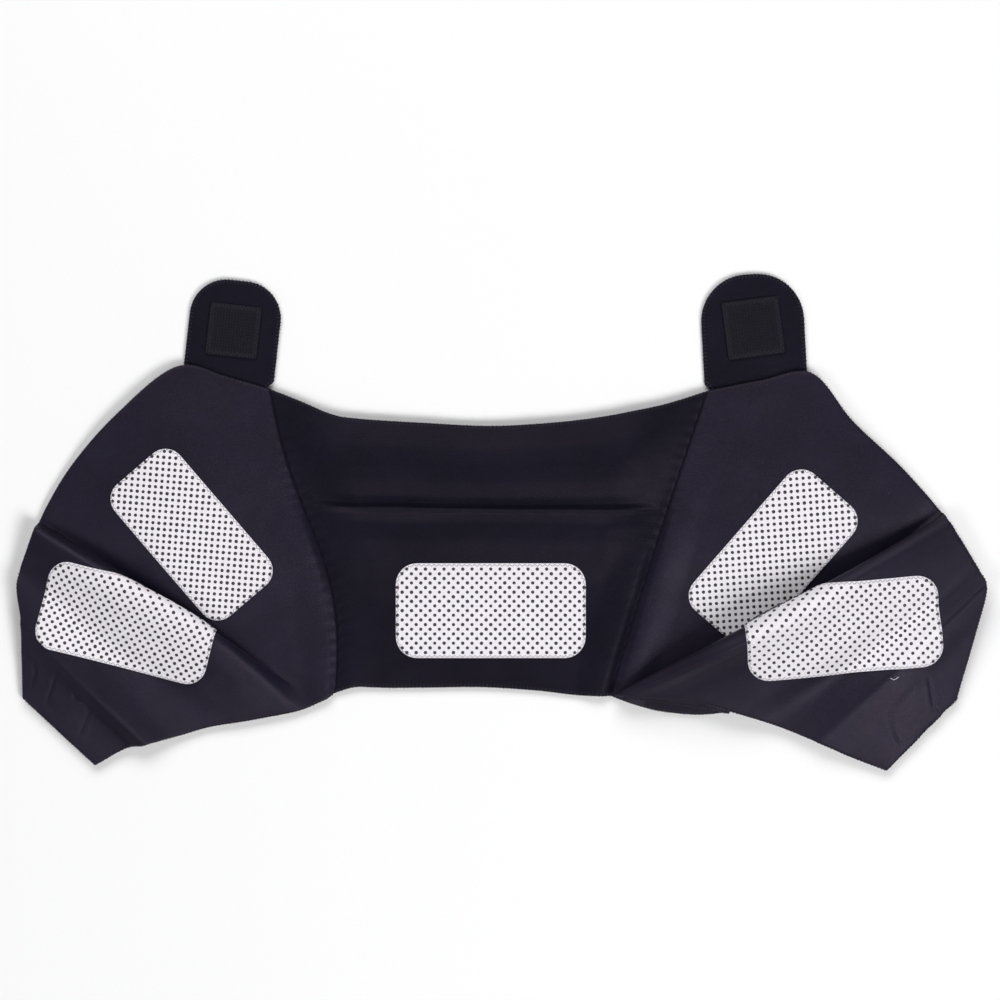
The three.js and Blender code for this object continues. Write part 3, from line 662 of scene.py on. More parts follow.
# %% Unroll cloth under a patch
def unroll(sheet, spot, rows, offset):
    """Returns a function that takes flat patch coordinates to places on the cloth and normals there."""
    keep = (sheet["at"] >= rows[0]) & (sheet["at"] <= rows[1])
    normals = sheet["normals"][keep]
    points = sheet["mid"][keep] + normals * offset
    turn = sheet["side"] * math.radians(spot.get("angle", 0))
    away = points[..., :2] - np.array([spot.get("x", 0), spot.get("y", 0)])
    a = (away @ np.array([math.cos(turn), math.sin(turn)])) / spot.get("stretch", 1)
    b = (away @ np.array([-math.sin(turn), math.cos(turn)])) / spot.get("squeeze", 1)
    if spot.get("over_crest"):
        length = np.linalg.norm(np.diff(points, axis=0), axis=-1)
        plan = b[:-1] - b[1:]
        steep = smooth(0.62, 0.3, normals[:-1, :, 2])
        climb = plan * (1 - steep) + np.maximum(plan, 0.75 * length) * steep
        b = b[-1:] + np.concatenate([np.cumsum(climb[::-1], axis=0)[::-1], np.zeros_like(b[:1])])
    tall, wide = a.shape
    at = np.arange(tall * wide).reshape(tall, wide)
    p, q, r, s = at[:-1, :-1].ravel(), at[1:, :-1].ravel(), at[1:, 1:].ravel(), at[:-1, 1:].ravel()
    corners = np.concatenate([np.stack([p, q, r], 1), np.stack([p, r, s], 1)])
    flat = [Vector((x, y, 0)) for x, y in zip(a.ravel(), b.ravel())]
    solid = [Vector(point) for point in points.reshape(-1, 3)]
    facing = [Vector(n) for n in normals.reshape(-1, 3)]
    tree = BVHTree.FromPolygons(flat, corners.tolist())

    def look_up(wanted):
        places = np.zeros((len(wanted), 3))
        turned = np.zeros((len(wanted), 3))
        for k, (x, y) in enumerate(wanted):
            hit, _, face, _ = tree.find_nearest(Vector((x, y, 0)))
            three = corners[face]
            own = [flat[c] for c in three]
            places[k] = barycentric_transform(hit, *own, *[solid[c] for c in three])
            turned[k] = barycentric_transform(hit, *own, *[facing[c] for c in three])
        return places, unit(turned)

    return look_up


# %% Rounded outlines and slabs made of rings
RINGS = np.concatenate([np.linspace(0.06, 0.90, 15), [0.94, 0.965, 0.98, 0.99, 0.996, 1.0]])


def even(line, count):
    """A closed line again, with evenly spaced points."""
    closed = np.concatenate([line, line[:1]])
    walked = np.concatenate([[0], np.cumsum(np.linalg.norm(np.diff(closed, axis=0), axis=1))])
    at = np.linspace(0, walked[-1], count, endpoint=False)
    return np.stack([np.interp(at, walked, closed[:, k]) for k in range(2)], 1)


def rounded_outline(length, width, corner, count=150):
    """Points round a rectangle with round corners, evenly spaced."""
    corners = []
    for turn, cx, cy in ((0, 1, 1), (90, -1, 1), (180, -1, -1), (270, 1, -1)):
        angle = np.radians(turn + np.linspace(0, 90, 13))
        x = cx * (length / 2 - corner) + corner * np.cos(angle)
        y = cy * (width / 2 - corner) + corner * np.sin(angle)
        corners.append(np.stack([x, y], 1))
    return even(np.concatenate(corners), count)


def ring_faces(rings, count, base, turn):
    """Faces of one side of a patch built of rings around a middle point."""
    ring = base + 1 + np.arange(rings * count).reshape(rings, count)
    after = np.roll(ring, -1, axis=1)
    fan = np.stack([np.full(count, base), ring[0], after[0]], -1)
    quads = np.stack([ring[:-1], ring[1:], after[1:], after[:-1]], -1).reshape(-1, 4)
    return [f[::turn].tolist() for f in fan] + [f[::turn].tolist() for f in quads]


def patch(name, outline, look_up, low, high, material, edge=0.16, soft=0.9, crown=0.3):
    """A patch of cloth with a rounded rim. low and high are its two faces, measured from the cloth.

    Returns the object, and its upper face alone with a UV map that runs from 0 to 1 over the patch."""
    count = len(outline)
    centre = outline.mean(0)
    rings = centre + (outline - centre) * RINGS[:, None, None]
    flat = np.concatenate([[centre], rings.reshape(-1, 2)])
    depth = distance_to(outline, flat, closed=True)
    places, facing = look_up(flat)
    middle = (low + high) / 2
    half = rounded(depth, edge, (high - low) / 2, soft)
    bottom = places + facing * (middle - half)[:, None]
    top = places + facing * (middle + half + crown * smooth(0, 9, depth))[:, None]
    uv = np.concatenate([flat, flat]) * MM
    shares = flat / np.ptp(outline, axis=0) + 0.5
    block = 1 + len(RINGS) * count
    rim = block - count + np.arange(count)
    wall = np.stack([rim, np.roll(rim, -1), np.roll(rim, -1) + block, rim + block], -1)
    faces = ring_faces(len(RINGS), count, 0, -1) + ring_faces(len(RINGS), count, block, 1) + wall.tolist()
    piece = finished(name, np.concatenate([bottom, top]), faces, uv, material)
    skin = plain_mesh(name + "_skin", top, ring_faces(len(RINGS), count, 0, 1), shares)
    return piece, skin


print("rings in a patch:", len(RINGS))


# %% [markdown]
# ## Repeats made with Geometry Nodes
#
# Dots, stitches and hooks repeat by the hundred, so small node trees make them. Each tree has named inputs
# for its sizes. `grow` runs a tree on a mesh, keeps the result as a plain mesh, and takes the modifier off
# again, because the finished pieces hold no live modifiers.


# %% Tree helpers
def new_tree(name, sizes):
    """An empty node tree with a geometry input, named size inputs and a material input."""
    tree = bpy.data.node_groups.new(name, "GeometryNodeTree")
    tree.interface.new_socket("Geometry", in_out="INPUT", socket_type="NodeSocketGeometry")
    for label, value in sizes.items():
        kind = "NodeSocketInt" if isinstance(value, int) else "NodeSocketFloat"
        tree.interface.new_socket(label, in_out="INPUT", socket_type=kind).default_value = value
    tree.interface.new_socket("Finish", in_out="INPUT", socket_type="NodeSocketMaterial")
    tree.interface.new_socket("Geometry", in_out="OUTPUT", socket_type="NodeSocketGeometry")
    return tree, tree.nodes.new("NodeGroupInput").outputs


def close_tree(tree, geometry, given):
    """Ends a tree in Realize Instances, a smooth surface and Set Material."""
    real = put(tree, "GeometryNodeRealizeInstances", {"Geometry": geometry})
    even_shade = put(tree, "GeometryNodeSetShadeSmooth", {"Geometry": real.outputs[0]})
    links = {"Geometry": even_shade.outputs[0], "Material": given["Finish"]}
    painted = put(tree, "GeometryNodeSetMaterial", links)
    tree.links.new(painted.outputs[0], tree.nodes.new("NodeGroupOutput").inputs[0])


def move(tree, how, a, b=(0, 0, 0)):
    """One vector step."""
    kind = {0: a, "Scale": b} if how == "SCALE" else {0: a, 1: b}
    return put(tree, "ShaderNodeVectorMath", kind, operation=how).outputs[0]


def named(tree, label):
    """Reads a named vector that the path or surface carries."""
    made = put(tree, "GeometryNodeInputNamedAttribute", {"Name": label}, data_type="FLOAT_VECTOR")
    return made.outputs["Attribute"]


def keep_named(tree, geometry, label, value):
    """Stores a named vector on the geometry."""
    links = {"Geometry": geometry, "Name": label, "Value": value}
    return put(tree, "GeometryNodeStoreNamedAttribute", links, data_type="FLOAT_VECTOR").outputs[0]


def chance(tree, seed, low, high, kind="FLOAT"):
    """A random value for each point, the same on every run."""
    links = {"Min": low, "Max": high, "Seed": seed}
    return put(tree, "FunctionNodeRandomValue", links, data_type=kind).outputs["Value"]


def grow(name, mesh, tree, values, finish):
    """Runs a tree on a mesh and returns the result as a plain object."""
    obj = bpy.data.objects.new(name, mesh)
    bpy.context.scene.collection.objects.link(obj)
    modifier = obj.modifiers.new("grow", "NODES")
    modifier.node_group = tree
    for item in tree.interface.items_tree:
        if item.in_out == "INPUT" and item.name in values:
            modifier[item.identifier] = values[item.name]
        if item.in_out == "INPUT" and item.name == "Finish":
            modifier[item.identifier] = finish
    obj.update_tag()
    shown = bpy.context.evaluated_depsgraph_get()
    result = bpy.data.meshes.new_from_object(obj.evaluated_get(shown), depsgraph=shown)
    obj.modifiers.remove(modifier)
    obj.data = result
    for key in [a.name for a in result.attributes if a.name in ("facing", "outward", "share")]:
        result.attributes.remove(result.attributes[key])
    print(name, "grew", len(result.polygons), "faces")
    return obj


# %% Paths that carry the cloth's directions
def path_mesh(name, points, facing, closed=False, outward=None):
    """A line of edges that carries the cloth's normal and the direction across the line."""
    mesh = bpy.data.meshes.new(name)
    count = len(points)
    edges = [(i, i + 1) for i in range(count - 1)] + ([(count - 1, 0)] if closed else [])
    mesh.from_pydata(((points - MIDDLE) * MM).tolist(), edges, [])
    if outward is None:
        round_trip = np.roll(points, -1, axis=0) - np.roll(points, 1, axis=0)
        ahead = round_trip if closed else np.gradient(points, axis=0)
        outward = unit(np.cross(ahead, facing))
    for label, values in (("facing", facing), ("outward", outward)):
        layer = mesh.attributes.new(label, "FLOAT_VECTOR", "POINT")
        layer.data.foreach_set("vector", np.asarray(values, np.float32).ravel())
    return mesh


def edge_path(name, sheet, *runs):
    """A path along free edges of a sheet. Each run says which edge it follows: neck, rim or side."""
    mid, normals = sheet["mid"], sheet["normals"]
    points, facing, outward = [], [], []
    for run in runs:
        if run == "neck":
            line, n, out = mid[:, 0], normals[:, 0], mid[:, 0] - mid[:, 3]
        elif run == "rim":
            line, n, out = mid[::-1, -1], normals[::-1, -1], (mid[:, -1] - mid[:, -4])[::-1]
        else:
            line, n, out = mid[-1], normals[-1], mid[-1] - mid[-3]
        trim = slice(1, -1) if run == "side" else slice(0, None)
        points.append(line[trim])
        facing.append(n[trim])
        outward.append(unit(out)[trim])
    points, facing, outward = (np.concatenate(part) for part in (points, facing, outward))
    return path_mesh(name, points, facing, outward=outward)


# %% A thread that winds along a path
def thread_tree():
    """A thread that swings sideways and up and down along a path.

    Going all the way round it wraps an edge, as overlocking does. Without that it is a zigzag."""
    sizes = {"Pitch": 0.0019, "Points a turn": 8, "Sideways": 0.0011, "Centre": -0.0009, "Lift": 0.00125,
             "Height": 0.0, "Thread radius": 0.0002, "Wraps": 1, "Loose": 0.12, "Seed": 1}
    tree, given = new_tree("winding thread", sizes)
    curve = put(tree, "GeometryNodeMeshToCurve", {"Mesh": given["Geometry"]})
    length = step(tree, given["Pitch"], given["Points a turn"], "DIVIDE")
    links = {"Curve": curve.outputs[0], "Length": length}
    spaced = put(tree, "GeometryNodeResampleCurve", links, mode="LENGTH")
    index = put(tree, "GeometryNodeInputIndex").outputs[0]
    angle = step(tree, step(tree, index, given["Points a turn"], "DIVIDE"), 2 * math.pi)
    jitter = chance(tree, given["Seed"], -1.0, 1.0)
    swing = step(tree, step(tree, angle, how="COSINE"), step(tree, jitter, given["Loose"]), "ADD")
    side = step(tree, step(tree, swing, given["Sideways"]), given["Centre"], "ADD")
    turn = step(tree, angle, how="SINE")
    boxy = step(tree, step(tree, step(tree, turn, 1.5), 1.0, "MINIMUM"), -1.0, "MAXIMUM")
    flat = step(tree, turn, how="ABSOLUTE")
    wraps = given["Wraps"]
    up = step(tree, step(tree, boxy, wraps), step(tree, flat, step(tree, 1.0, wraps, "SUBTRACT")), "ADD")
    rise = step(tree, step(tree, up, given["Lift"]), given["Height"], "ADD")
    offset = move(tree, "ADD", move(tree, "SCALE", named(tree, "outward"), side),
                  move(tree, "SCALE", named(tree, "facing"), rise))
    moved = put(tree, "GeometryNodeSetPosition", {"Geometry": spaced.outputs[0], "Offset": offset})
    here = put(tree, "GeometryNodeInputPosition").outputs[0]
    place = put(tree, "ShaderNodeSeparateXYZ", {0: here}).outputs
    floor_height = step(tree, place[2], given["Thread radius"], "MAXIMUM")
    kept = put(tree, "ShaderNodeCombineXYZ", {0: place[0], 1: place[1], 2: floor_height}).outputs[0]
    rested = put(tree, "GeometryNodeSetPosition", {"Geometry": moved.outputs[0], "Position": kept})
    ring = put(tree, "GeometryNodeCurvePrimitiveCircle", {"Resolution": 5, "Radius": given["Thread radius"]})
    tube = put(tree, "GeometryNodeCurveToMesh",
               {"Curve": rested.outputs[0], "Profile Curve": ring.outputs[0], "Fill Caps": True})
    close_tree(tree, tube.outputs[0], given)
    return tree


THREAD = thread_tree()
print("nodes in the thread tree:", len(THREAD.nodes))


# %% Where a lattice ends
LATTICE_SPARE = 1.15


def from_outline(tree, given, place):
    """How far a flat place lies outside a rounded rectangle, and below 0 how far inside."""
    axes = put(tree, "ShaderNodeSeparateXYZ", {0: move(tree, "ABSOLUTE", place)}).outputs
    beyond = []
    for axis, size in enumerate(("Length", "Width")):
        straight = step(tree, step(tree, given[size], 0.5), given["Corner"], "SUBTRACT")
        beyond.append(step(tree, axes[axis], straight, "SUBTRACT"))
    over = {axis: step(tree, beyond[axis], 0.0, "MAXIMUM") for axis in (0, 1)}
    past = put(tree, "ShaderNodeCombineXYZ", over).outputs[0]
    outside = put(tree, "ShaderNodeVectorMath", {0: past}, operation="LENGTH").outputs["Value"]
    within = step(tree, step(tree, beyond[0], beyond[1], "MAXIMUM"), 0.0, "MINIMUM")
    return step(tree, step(tree, outside, within, "ADD"), given["Corner"], "SUBTRACT")


def seated(tree, given, points, place):
    """Moves flat points onto the patch's curved upper face through its UV map, and keeps its normal there."""
    size = put(tree, "ShaderNodeCombineXYZ", {0: given["Length"], 1: given["Width"], 2: 1.0}).outputs[0]
    shares = move(tree, "ADD", move(tree, "DIVIDE", place, size), (0.5, 0.5, 0))
    cloud = keep_named(tree, points, "share", shares)
    found = []
    for value in ("GeometryNodeInputPosition", "GeometryNodeInputNormal"):
        links = {"Mesh": given["Geometry"], "Value": put(tree, value).outputs[0],
                 "Source UV Map": named(tree, "UVMap"), "Sample UV": named(tree, "share")}
        sample = put(tree, "GeometryNodeSampleUVSurface", links, data_type="FLOAT_VECTOR")
        found.append(sample.outputs[0])
    cloud = keep_named(tree, cloud, "facing", found[1])
    return put(tree, "GeometryNodeSetPosition", {"Geometry": cloud, "Position": found[0]}).outputs[0]


# %% Things that repeat over a patch
def lattice_tree(name, sizes, turn, one_of, tilt=0.0):
    """Copies of one small thing on a square lattice over a patch with round corners.

    The lattice is made flat, cut to the outline less a margin, and seated on the curved patch."""
    tree, given = new_tree(name, sizes)
    span = step(tree, given["Length"], LATTICE_SPARE)
    count = step(tree, step(tree, step(tree, span, given["Pitch"], "DIVIDE"), how="ROUND"), 1.0, "ADD")
    reach = step(tree, step(tree, count, 1.0, "SUBTRACT"), given["Pitch"])
    grid = put(tree, "GeometryNodeMeshGrid",
               {"Size X": reach, "Size Y": reach, "Vertices X": count, "Vertices Y": count})
    turned = put(tree, "GeometryNodeTransform", {"Geometry": grid.outputs[0], "Rotation": (0, 0, turn)})
    points = put(tree, "GeometryNodeMeshToPoints", {"Mesh": turned.outputs[0]})
    place = put(tree, "GeometryNodeInputPosition").outputs[0]
    depth = step(tree, from_outline(tree, given, place), given["Margin"], "ADD")
    cut = put(tree, "FunctionNodeCompare", {"A": depth, "B": 0.0}, operation="GREATER_THAN").outputs[0]
    links = {"Geometry": points.outputs[0], "Selection": cut}
    kept = put(tree, "GeometryNodeDeleteGeometry", links, domain="POINT")
    cloud = seated(tree, given, kept.outputs[0], place)
    aim = put(tree, "FunctionNodeAlignRotationToVector", {"Vector": named(tree, "facing")}, axis="Z")
    lean = chance(tree, given["Seed"], (-tilt, -tilt, -tilt), (tilt, tilt, tilt), "FLOAT_VECTOR")
    bend = put(tree, "FunctionNodeEulerToRotation", {0: lean})
    links = {"Rotation": aim.outputs[0], "Rotate By": bend.outputs[0]}
    rotation = put(tree, "FunctionNodeRotateRotation", links, rotation_space="LOCAL").outputs[0]
    vary = chance(tree, given["Seed"], 0.92, 1.08)
    copies = put(tree, "GeometryNodeInstanceOnPoints",
                 {"Points": cloud, "Instance": one_of(tree, given), "Rotation": rotation,
                  "Scale": move(tree, "SCALE", (1, 1, 1), vary)})
    close_tree(tree, copies.outputs[0], given)
    return tree


# %% One dot and one hook
def one_dot(tree, given):
    """A low round dome of rubbery print."""
    ball = put(tree, "GeometryNodeMeshUVSphere", {"Segments": 10, "Rings": 5, "Radius": 1.0})
    squash = put(tree, "ShaderNodeCombineXYZ",
                 {0: given["Dot radius"], 1: given["Dot radius"], 2: given["Dot height"]}).outputs[0]
    return put(tree, "GeometryNodeTransform", {"Geometry": ball.outputs[0], "Scale": squash}).outputs[0]


def one_hook(tree, given):
    """A short stiff strand that bends over at its tip."""
    bend = put(tree, "GeometryNodeCurveQuadraticBezier",
               {"Resolution": 4, "Start": (0, 0, -0.0002), "Middle": (0, 0, 0.0009),
                "End": (0.0006, 0, 0.0004)})
    ring = put(tree, "GeometryNodeCurvePrimitiveCircle", {"Resolution": 4, "Radius": given["Strand radius"]})
    return put(tree, "GeometryNodeCurveToMesh",
               {"Curve": bend.outputs[0], "Profile Curve": ring.outputs[0], "Fill Caps": True}).outputs[0]


DOTS = lattice_tree(
    "rows of dots",
    {"Length": PAD_LENGTH * MM, "Width": PAD_WIDTH * MM, "Corner": PAD_CORNER * MM, "Margin": 0.0007,
     "Pitch": 0.0034, "Dot radius": 0.00092, "Dot height": 0.00028, "Seed": 4},
    math.pi / 4, one_dot)
HOOKS = lattice_tree(
    "rows of hooks",
    {"Length": 0.027, "Width": 0.027, "Corner": HOOK_CORNER * MM, "Margin": 0.0026, "Pitch": 0.0015,
     "Strand radius": 0.00014, "Seed": 2},
    0.0, one_hook, 0.25)
print("nodes in the dot tree:", len(DOTS.nodes), "and in the hook tree:", len(HOOKS.nodes))

# %% [markdown]
# ## The pads
#
# Five pads are sewn to the inner side: one on the back, two on each wing. A lower pad lies on the slope of
# its crest and runs into the fold. A small zigzag of grey thread holds each pad a little inside its edge.

# %% Pads
PADS = [
    dict(name="center_pad", on=back_sheet, out=0.565, up=0.291, angle=0, stretch=1, squeeze=1, rows=(0, 9)),
    dict(name="left_upper_pad", on=left_sheet, out=0.450, up=0.482, angle=49.5, stretch=0.91, squeeze=0.905,
         rows=(0, 6)),
    dict(name="left_lower_pad", on=left_sheet, out=0.649, up=0.211, angle=14.3, stretch=0.92, squeeze=0.947,
         rows=(7, 13), over_crest=True),
    dict(name="right_upper_pad", on=right_sheet, out=0.431, up=0.414, angle=49, stretch=0.95, squeeze=0.925,
         rows=(0, 6)),
    dict(name="right_lower_pad", on=right_sheet, out=0.613, up=0.198, angle=5, stretch=1.03, squeeze=0.96,
         rows=(10, 18), over_crest=True),
]
STITCH_INSET = 0.9
ZIGZAG = {"Pitch": 0.0026, "Points a turn": 4, "Sideways": 0.0006, "Centre": 0.0, "Lift": 0.00016,
          "Thread radius": 0.00012, "Wraps": 0}
pad_pieces = {}
for number, pad in enumerate(PADS):
    on = pad["on"]
    pad["x"] = on["seam_x"] + on["side"] * pad["out"] * on["reach"]
    pad["y"] = NECK_LINE + pad["up"] * on["rise"]
    look_up = unroll(on, pad, pad["rows"], CLOTH / 2)
    outline = rounded_outline(PAD_LENGTH, PAD_WIDTH, PAD_CORNER)
    felt_patch, skin = patch(pad["name"] + "_felt", outline, look_up, 0.0, PAD_THICKNESS, PAD_FELT)
    dots = grow(pad["name"] + "_dots", skin, DOTS, {"Seed": number}, DOT_RUBBER)
    sewn_length, sewn_width = PAD_LENGTH - 2 * STITCH_INSET, PAD_WIDTH - 2 * STITCH_INSET
    inset = rounded_outline(sewn_length, sewn_width, PAD_CORNER - STITCH_INSET, 300)
    places, facing = look_up(inset)
    line = path_mesh(pad["name"] + "_line", places + facing * PAD_THICKNESS, facing, closed=True)
    border = grow(pad["name"] + "_border", line, THREAD, dict(ZIGZAG, Seed=number), PAD_THREAD)
    pad_pieces[pad["name"]] = [felt_patch, dots, border]

# %% [markdown]
# ## Closing tabs
#
# Each tab is a flat strip with a round end, tucked under the wing's upper edge. A square of woven hook tape
# is sewn to its inner face with a zigzag, and the whole edge is overlocked in black thread, whose sheen shows
# as a light scalloped band in the photograph. The thread's paler colour paints that sheen in.

# %% Tabs
TABS = [
    dict(name="left", on=left_sheet, out=0.336, up=0.969, lean=-6.4, hook_turn=0, hook_up=0.48, length=50,
         width=47, corner=19, hook=27),
    dict(name="right", on=right_sheet, out=0.387, up=0.966, lean=3.1, hook_turn=4.4, hook_up=0.5,
         length=55.5, width=53, corner=24, hook=30),
]
TAB_EDGE_LIFT = 0.00115
HOOK_INSET = 1.5


def tab_outline(width, length, corner, count=190):
    """The strip's outline: a narrow end under the wing, straight sides and a round end."""
    x = width / 2
    turn = np.radians(np.linspace(0, 90, 17))
    right = np.stack([x - corner + corner * np.cos(turn), length - corner + corner * np.sin(turn)], 1)
    left = np.stack([-right[::-1, 0], right[::-1, 1]], 1)
    low = [(-x, 0), (TAB_OVERLAP - x, -TAB_OVERLAP), (x - TAB_OVERLAP, -TAB_OVERLAP), (x, 0)]
    return even(np.concatenate([right, left, low]), count)


def flat_place(x, y, z, degrees):
    """A look-up for patches that lie flat: turns and moves them, at one height."""
    turn = math.radians(degrees)
    spin = np.array([[math.cos(turn), math.sin(turn)], [-math.sin(turn), math.cos(turn)]])

    def look_up(wanted):
        plan = np.asarray(wanted) @ spin + np.array([x, y])
        up = np.tile([0.0, 0.0, 1.0], (len(plan), 1))
        return np.column_stack([plan, np.full(len(plan), z)]), up

    return look_up


def sew_tab(tab, number):
    """The tab's strip of cloth and its overlocked rim, and where its hook square is seated."""
    name, on = tab["name"], tab["on"]
    x = on["seam_x"] + on["side"] * tab["out"] * on["reach"]
    y = NECK_LINE + tab["up"] * on["rise"]
    strip = flat_place(x, y, 0.0, tab["lean"])
    outline = tab_outline(tab["width"], tab["length"], tab["corner"])
    rim = (EDGE_HALF, EDGE_ROUND, 0.0)
    cloth, _ = patch(name + "_tab_cloth", outline, strip, 0.0, TAB_CLOTH, BACK_KNIT_PAINTED_SHADE, *rim)
    places, facing = strip(outline)
    line = path_mesh(name + "_tab_line", places + facing * TAB_CLOTH / 2, facing, closed=True)
    winding = {"Lift": TAB_EDGE_LIFT, "Seed": number + 20}
    edging = grow(name + "_tab_edging", line, THREAD, winding, TAB_THREAD_PAINTED_SHEEN)
    hook_x, hook_y, _ = strip([(0, tab["hook_up"] * tab["length"])])[0][0]
    return [cloth, edging], flat_place(hook_x, hook_y, TAB_CLOTH, tab["lean"] + tab["hook_turn"])


def sew_hooks(tab, seat, number):
    """The square of hook tape, its rows of hooks and the zigzag that holds it."""
    name, size = tab["name"], tab["hook"]
    square = rounded_outline(size, size, HOOK_CORNER, 120)
    tape, skin = patch(name + "_hook_tape", square, seat, 0.0, HOOK_THICKNESS, HOOK_TAPE, 0.2, 0.8, 0.0)
    sizes = {"Length": size * MM, "Width": size * MM, "Seed": number}
    hooks = grow(name + "_hook_rows", skin, HOOKS, sizes, HOOK_STRAND)
    inner = rounded_outline(size - 2 * HOOK_INSET, size - 2 * HOOK_INSET, HOOK_CORNER, 200)
    places, facing = seat(inner)
    line = path_mesh(name + "_hook_line", places + facing * HOOK_THICKNESS, facing, closed=True)
    sewing = dict(ZIGZAG, Pitch=0.0022, Sideways=0.0008, Seed=number + 30)
    return [tape, hooks, grow(name + "_hook_border", line, THREAD, sewing, TAB_THREAD_PAINTED_SHEEN)]


tab_pieces = {}
for number, tab in enumerate(TABS):
    strip_pieces, seat = sew_tab(tab, number)
    tab_pieces[tab["name"]] = strip_pieces + sew_hooks(tab, seat, number)

# %% [markdown]
# ## Loop patches
#
# The soft halves of the fasteners are sewn to the outer face of the corner flaps, which lies down here. They
# hang from the cloth above them, so their look-up starts below the cloth and their thickness goes down.

# %% Loop patches
LOOPS = [
    dict(name="left", on=left_sheet, out=0.789, up=-0.037, angle=41.7, rows=(12, 15)),
    dict(name="right", on=right_sheet, out=0.811, up=-0.05, angle=43, rows=(15, 18)),
]
loop_pieces = {}
for loop in LOOPS:
    on = loop["on"]
    loop["x"] = on["seam_x"] + on["side"] * loop["out"] * on["reach"]
    loop["y"] = NECK_LINE + loop["up"] * on["rise"]
    look_up = unroll(on, loop, loop["rows"], -CLOTH / 2)
    outline = rounded_outline(LOOP_LENGTH, LOOP_WIDTH, LOOP_CORNER, 120)
    name = loop["name"] + "_loop_tape"
    pile, _ = patch(name, outline, look_up, -LOOP_THICKNESS, 0.0, LOOP_PILE, 0.2, 0.7, 0.0)
    loop_pieces[loop["name"]] = pile
print("patches:", len(pad_pieces) + 2 * len(tab_pieces) + len(loop_pieces))

# %% [markdown]
# ## Edges, seams and small threads
#
# All free edges are overlocked: one thread winds round the edge every 1.9 mm. Where the panels meet, short
# dark stitches bridge the seam. The loop patches' sewing shows on the flaps as fine zigzags, and one loose
# white thread lies on the right flap.

# %% Overlocked edges
edgings = {
    "left": grow("left_wing_edging", edge_path("left_line", left_sheet, "neck", "side", "rim"), THREAD,
                 {"Seed": 5}, EDGE_THREAD_PAINTED_SHEEN),
    "right": grow("right_wing_edging", edge_path("right_line", right_sheet, "neck", "side", "rim"), THREAD,
                  {"Seed": 6}, EDGE_THREAD_PAINTED_SHEEN),
    "back_neck": grow("back_neck_edging", edge_path("back_neck_line", back_sheet, "neck"), THREAD,
                      {"Seed": 7}, EDGE_THREAD_PAINTED_SHEEN),
    "back_top": grow("back_top_edging", edge_path("back_top_line", back_sheet, "rim"), THREAD,
                     {"Seed": 8}, EDGE_THREAD_PAINTED_SHEEN),
}

# %% Stitches across the seams
seams = {}
for name, sheet, seed in (("left", left_sheet, 9), ("right", right_sheet, 10)):
    height = sheet["half"][0][:, None] * np.array([0, 0, 1])
    facing = np.tile([0.0, 0.0, 1.0], (len(height), 1))
    line = path_mesh(name + "_seam_line", sheet["mid"][0] + height, facing)
    seams[name] = grow(name + "_seam_stitches", line, THREAD,
                       dict(ZIGZAG, Pitch=0.0021, Sideways=0.0012, Lift=0.0003, Seed=seed), SEAM_THREAD)


# %% Lines laid onto the cloth
def thread_on(name, sheet, rows, pixels, values, finish, height=0.0, count=60):
    """A thread that follows a line of the photograph on the cloth's upper face."""
    line = from_photo(pixels)
    walked = np.concatenate([[0], np.cumsum(np.linalg.norm(np.diff(line, axis=0), axis=1))])
    at = np.linspace(0, walked[-1], count)
    plan = np.stack([np.interp(at, walked, line[:, k]) for k in range(2)], 1)
    places, facing = unroll(sheet, {}, rows, CLOTH / 2 + height)(plan)
    return grow(name, path_mesh(name + "_line", places, facing), THREAD, values, finish)


SHOWN = dict(ZIGZAG, Pitch=0.0024, Sideways=0.0005, Lift=0.00012)
marks = {"left": [], "right": []}
for name, sheet, rows in (("left", left_sheet, (12, 15)), ("right", right_sheet, (15, 18))):
    for k, line in enumerate(SHOW_THROUGH[name]):
        marks[name].append(thread_on(f"{name}_flap_mark_{k}", sheet, rows, line, dict(SHOWN, Seed=40 + k),
                                     SEAM_THREAD, -0.15))
LEFT_TAB_ROW = [(224, 376), (238, 382)]
RIGHT_TAB_ROW = [(742, 389), (768, 384)]
marks["left"].append(thread_on("left_tab_stitches", left_sheet, (0, 4), LEFT_TAB_ROW, SHOWN, TAB_THREAD_PAINTED_SHEEN))
marks["right"].append(thread_on("right_tab_stitches", right_sheet, (0, 4), RIGHT_TAB_ROW, SHOWN, TAB_THREAD_PAINTED_SHEEN))
LOOSE = dict(ZIGZAG, Pitch=0.006, Sideways=0.0002, Lift=0.0002)
LOOSE["Thread radius"] = 0.00016
LOOSE_LINE = [(889, 677), (893, 680), (897, 676)]
loose = thread_on("right_loose_thread", right_sheet, (13, 18), LOOSE_LINE, LOOSE, PALE_THREAD, 0.2, 12)
marks["right"].append(loose)
print("small threads on the wings:", sum(len(found) for found in marks.values()))

# %% [markdown]
# ## Stage, light and camera
#
# The photograph looks straight down, so the camera does too, from far enough away that the raised folds
# hardly lean. The table is nearly white. A wide soft light stands beyond the tabs and two smaller ones on the
# near side, where the corner flaps slope towards them and catch their light. The flat cloth in between
# mirrors only the dim room above.

# %% Camera
scene = bpy.context.scene
CAMERA_HEIGHT = 2.5
view_centre = from_photo([(500, 500)])[0] - MIDDLE[:2]
camera_data = bpy.data.cameras.new("camera")
camera = bpy.data.objects.new("camera", camera_data)
scene.collection.objects.link(camera)
camera.location = (view_centre[0] * MM, view_centre[1] * MM, CAMERA_HEIGHT)
camera_data.sensor_width = 36
camera_data.lens = 36 * (CAMERA_HEIGHT - 0.004) / (1000 * PIXEL * MM)
scene.camera = camera
print("lens:", round(camera_data.lens, 1), "mm")

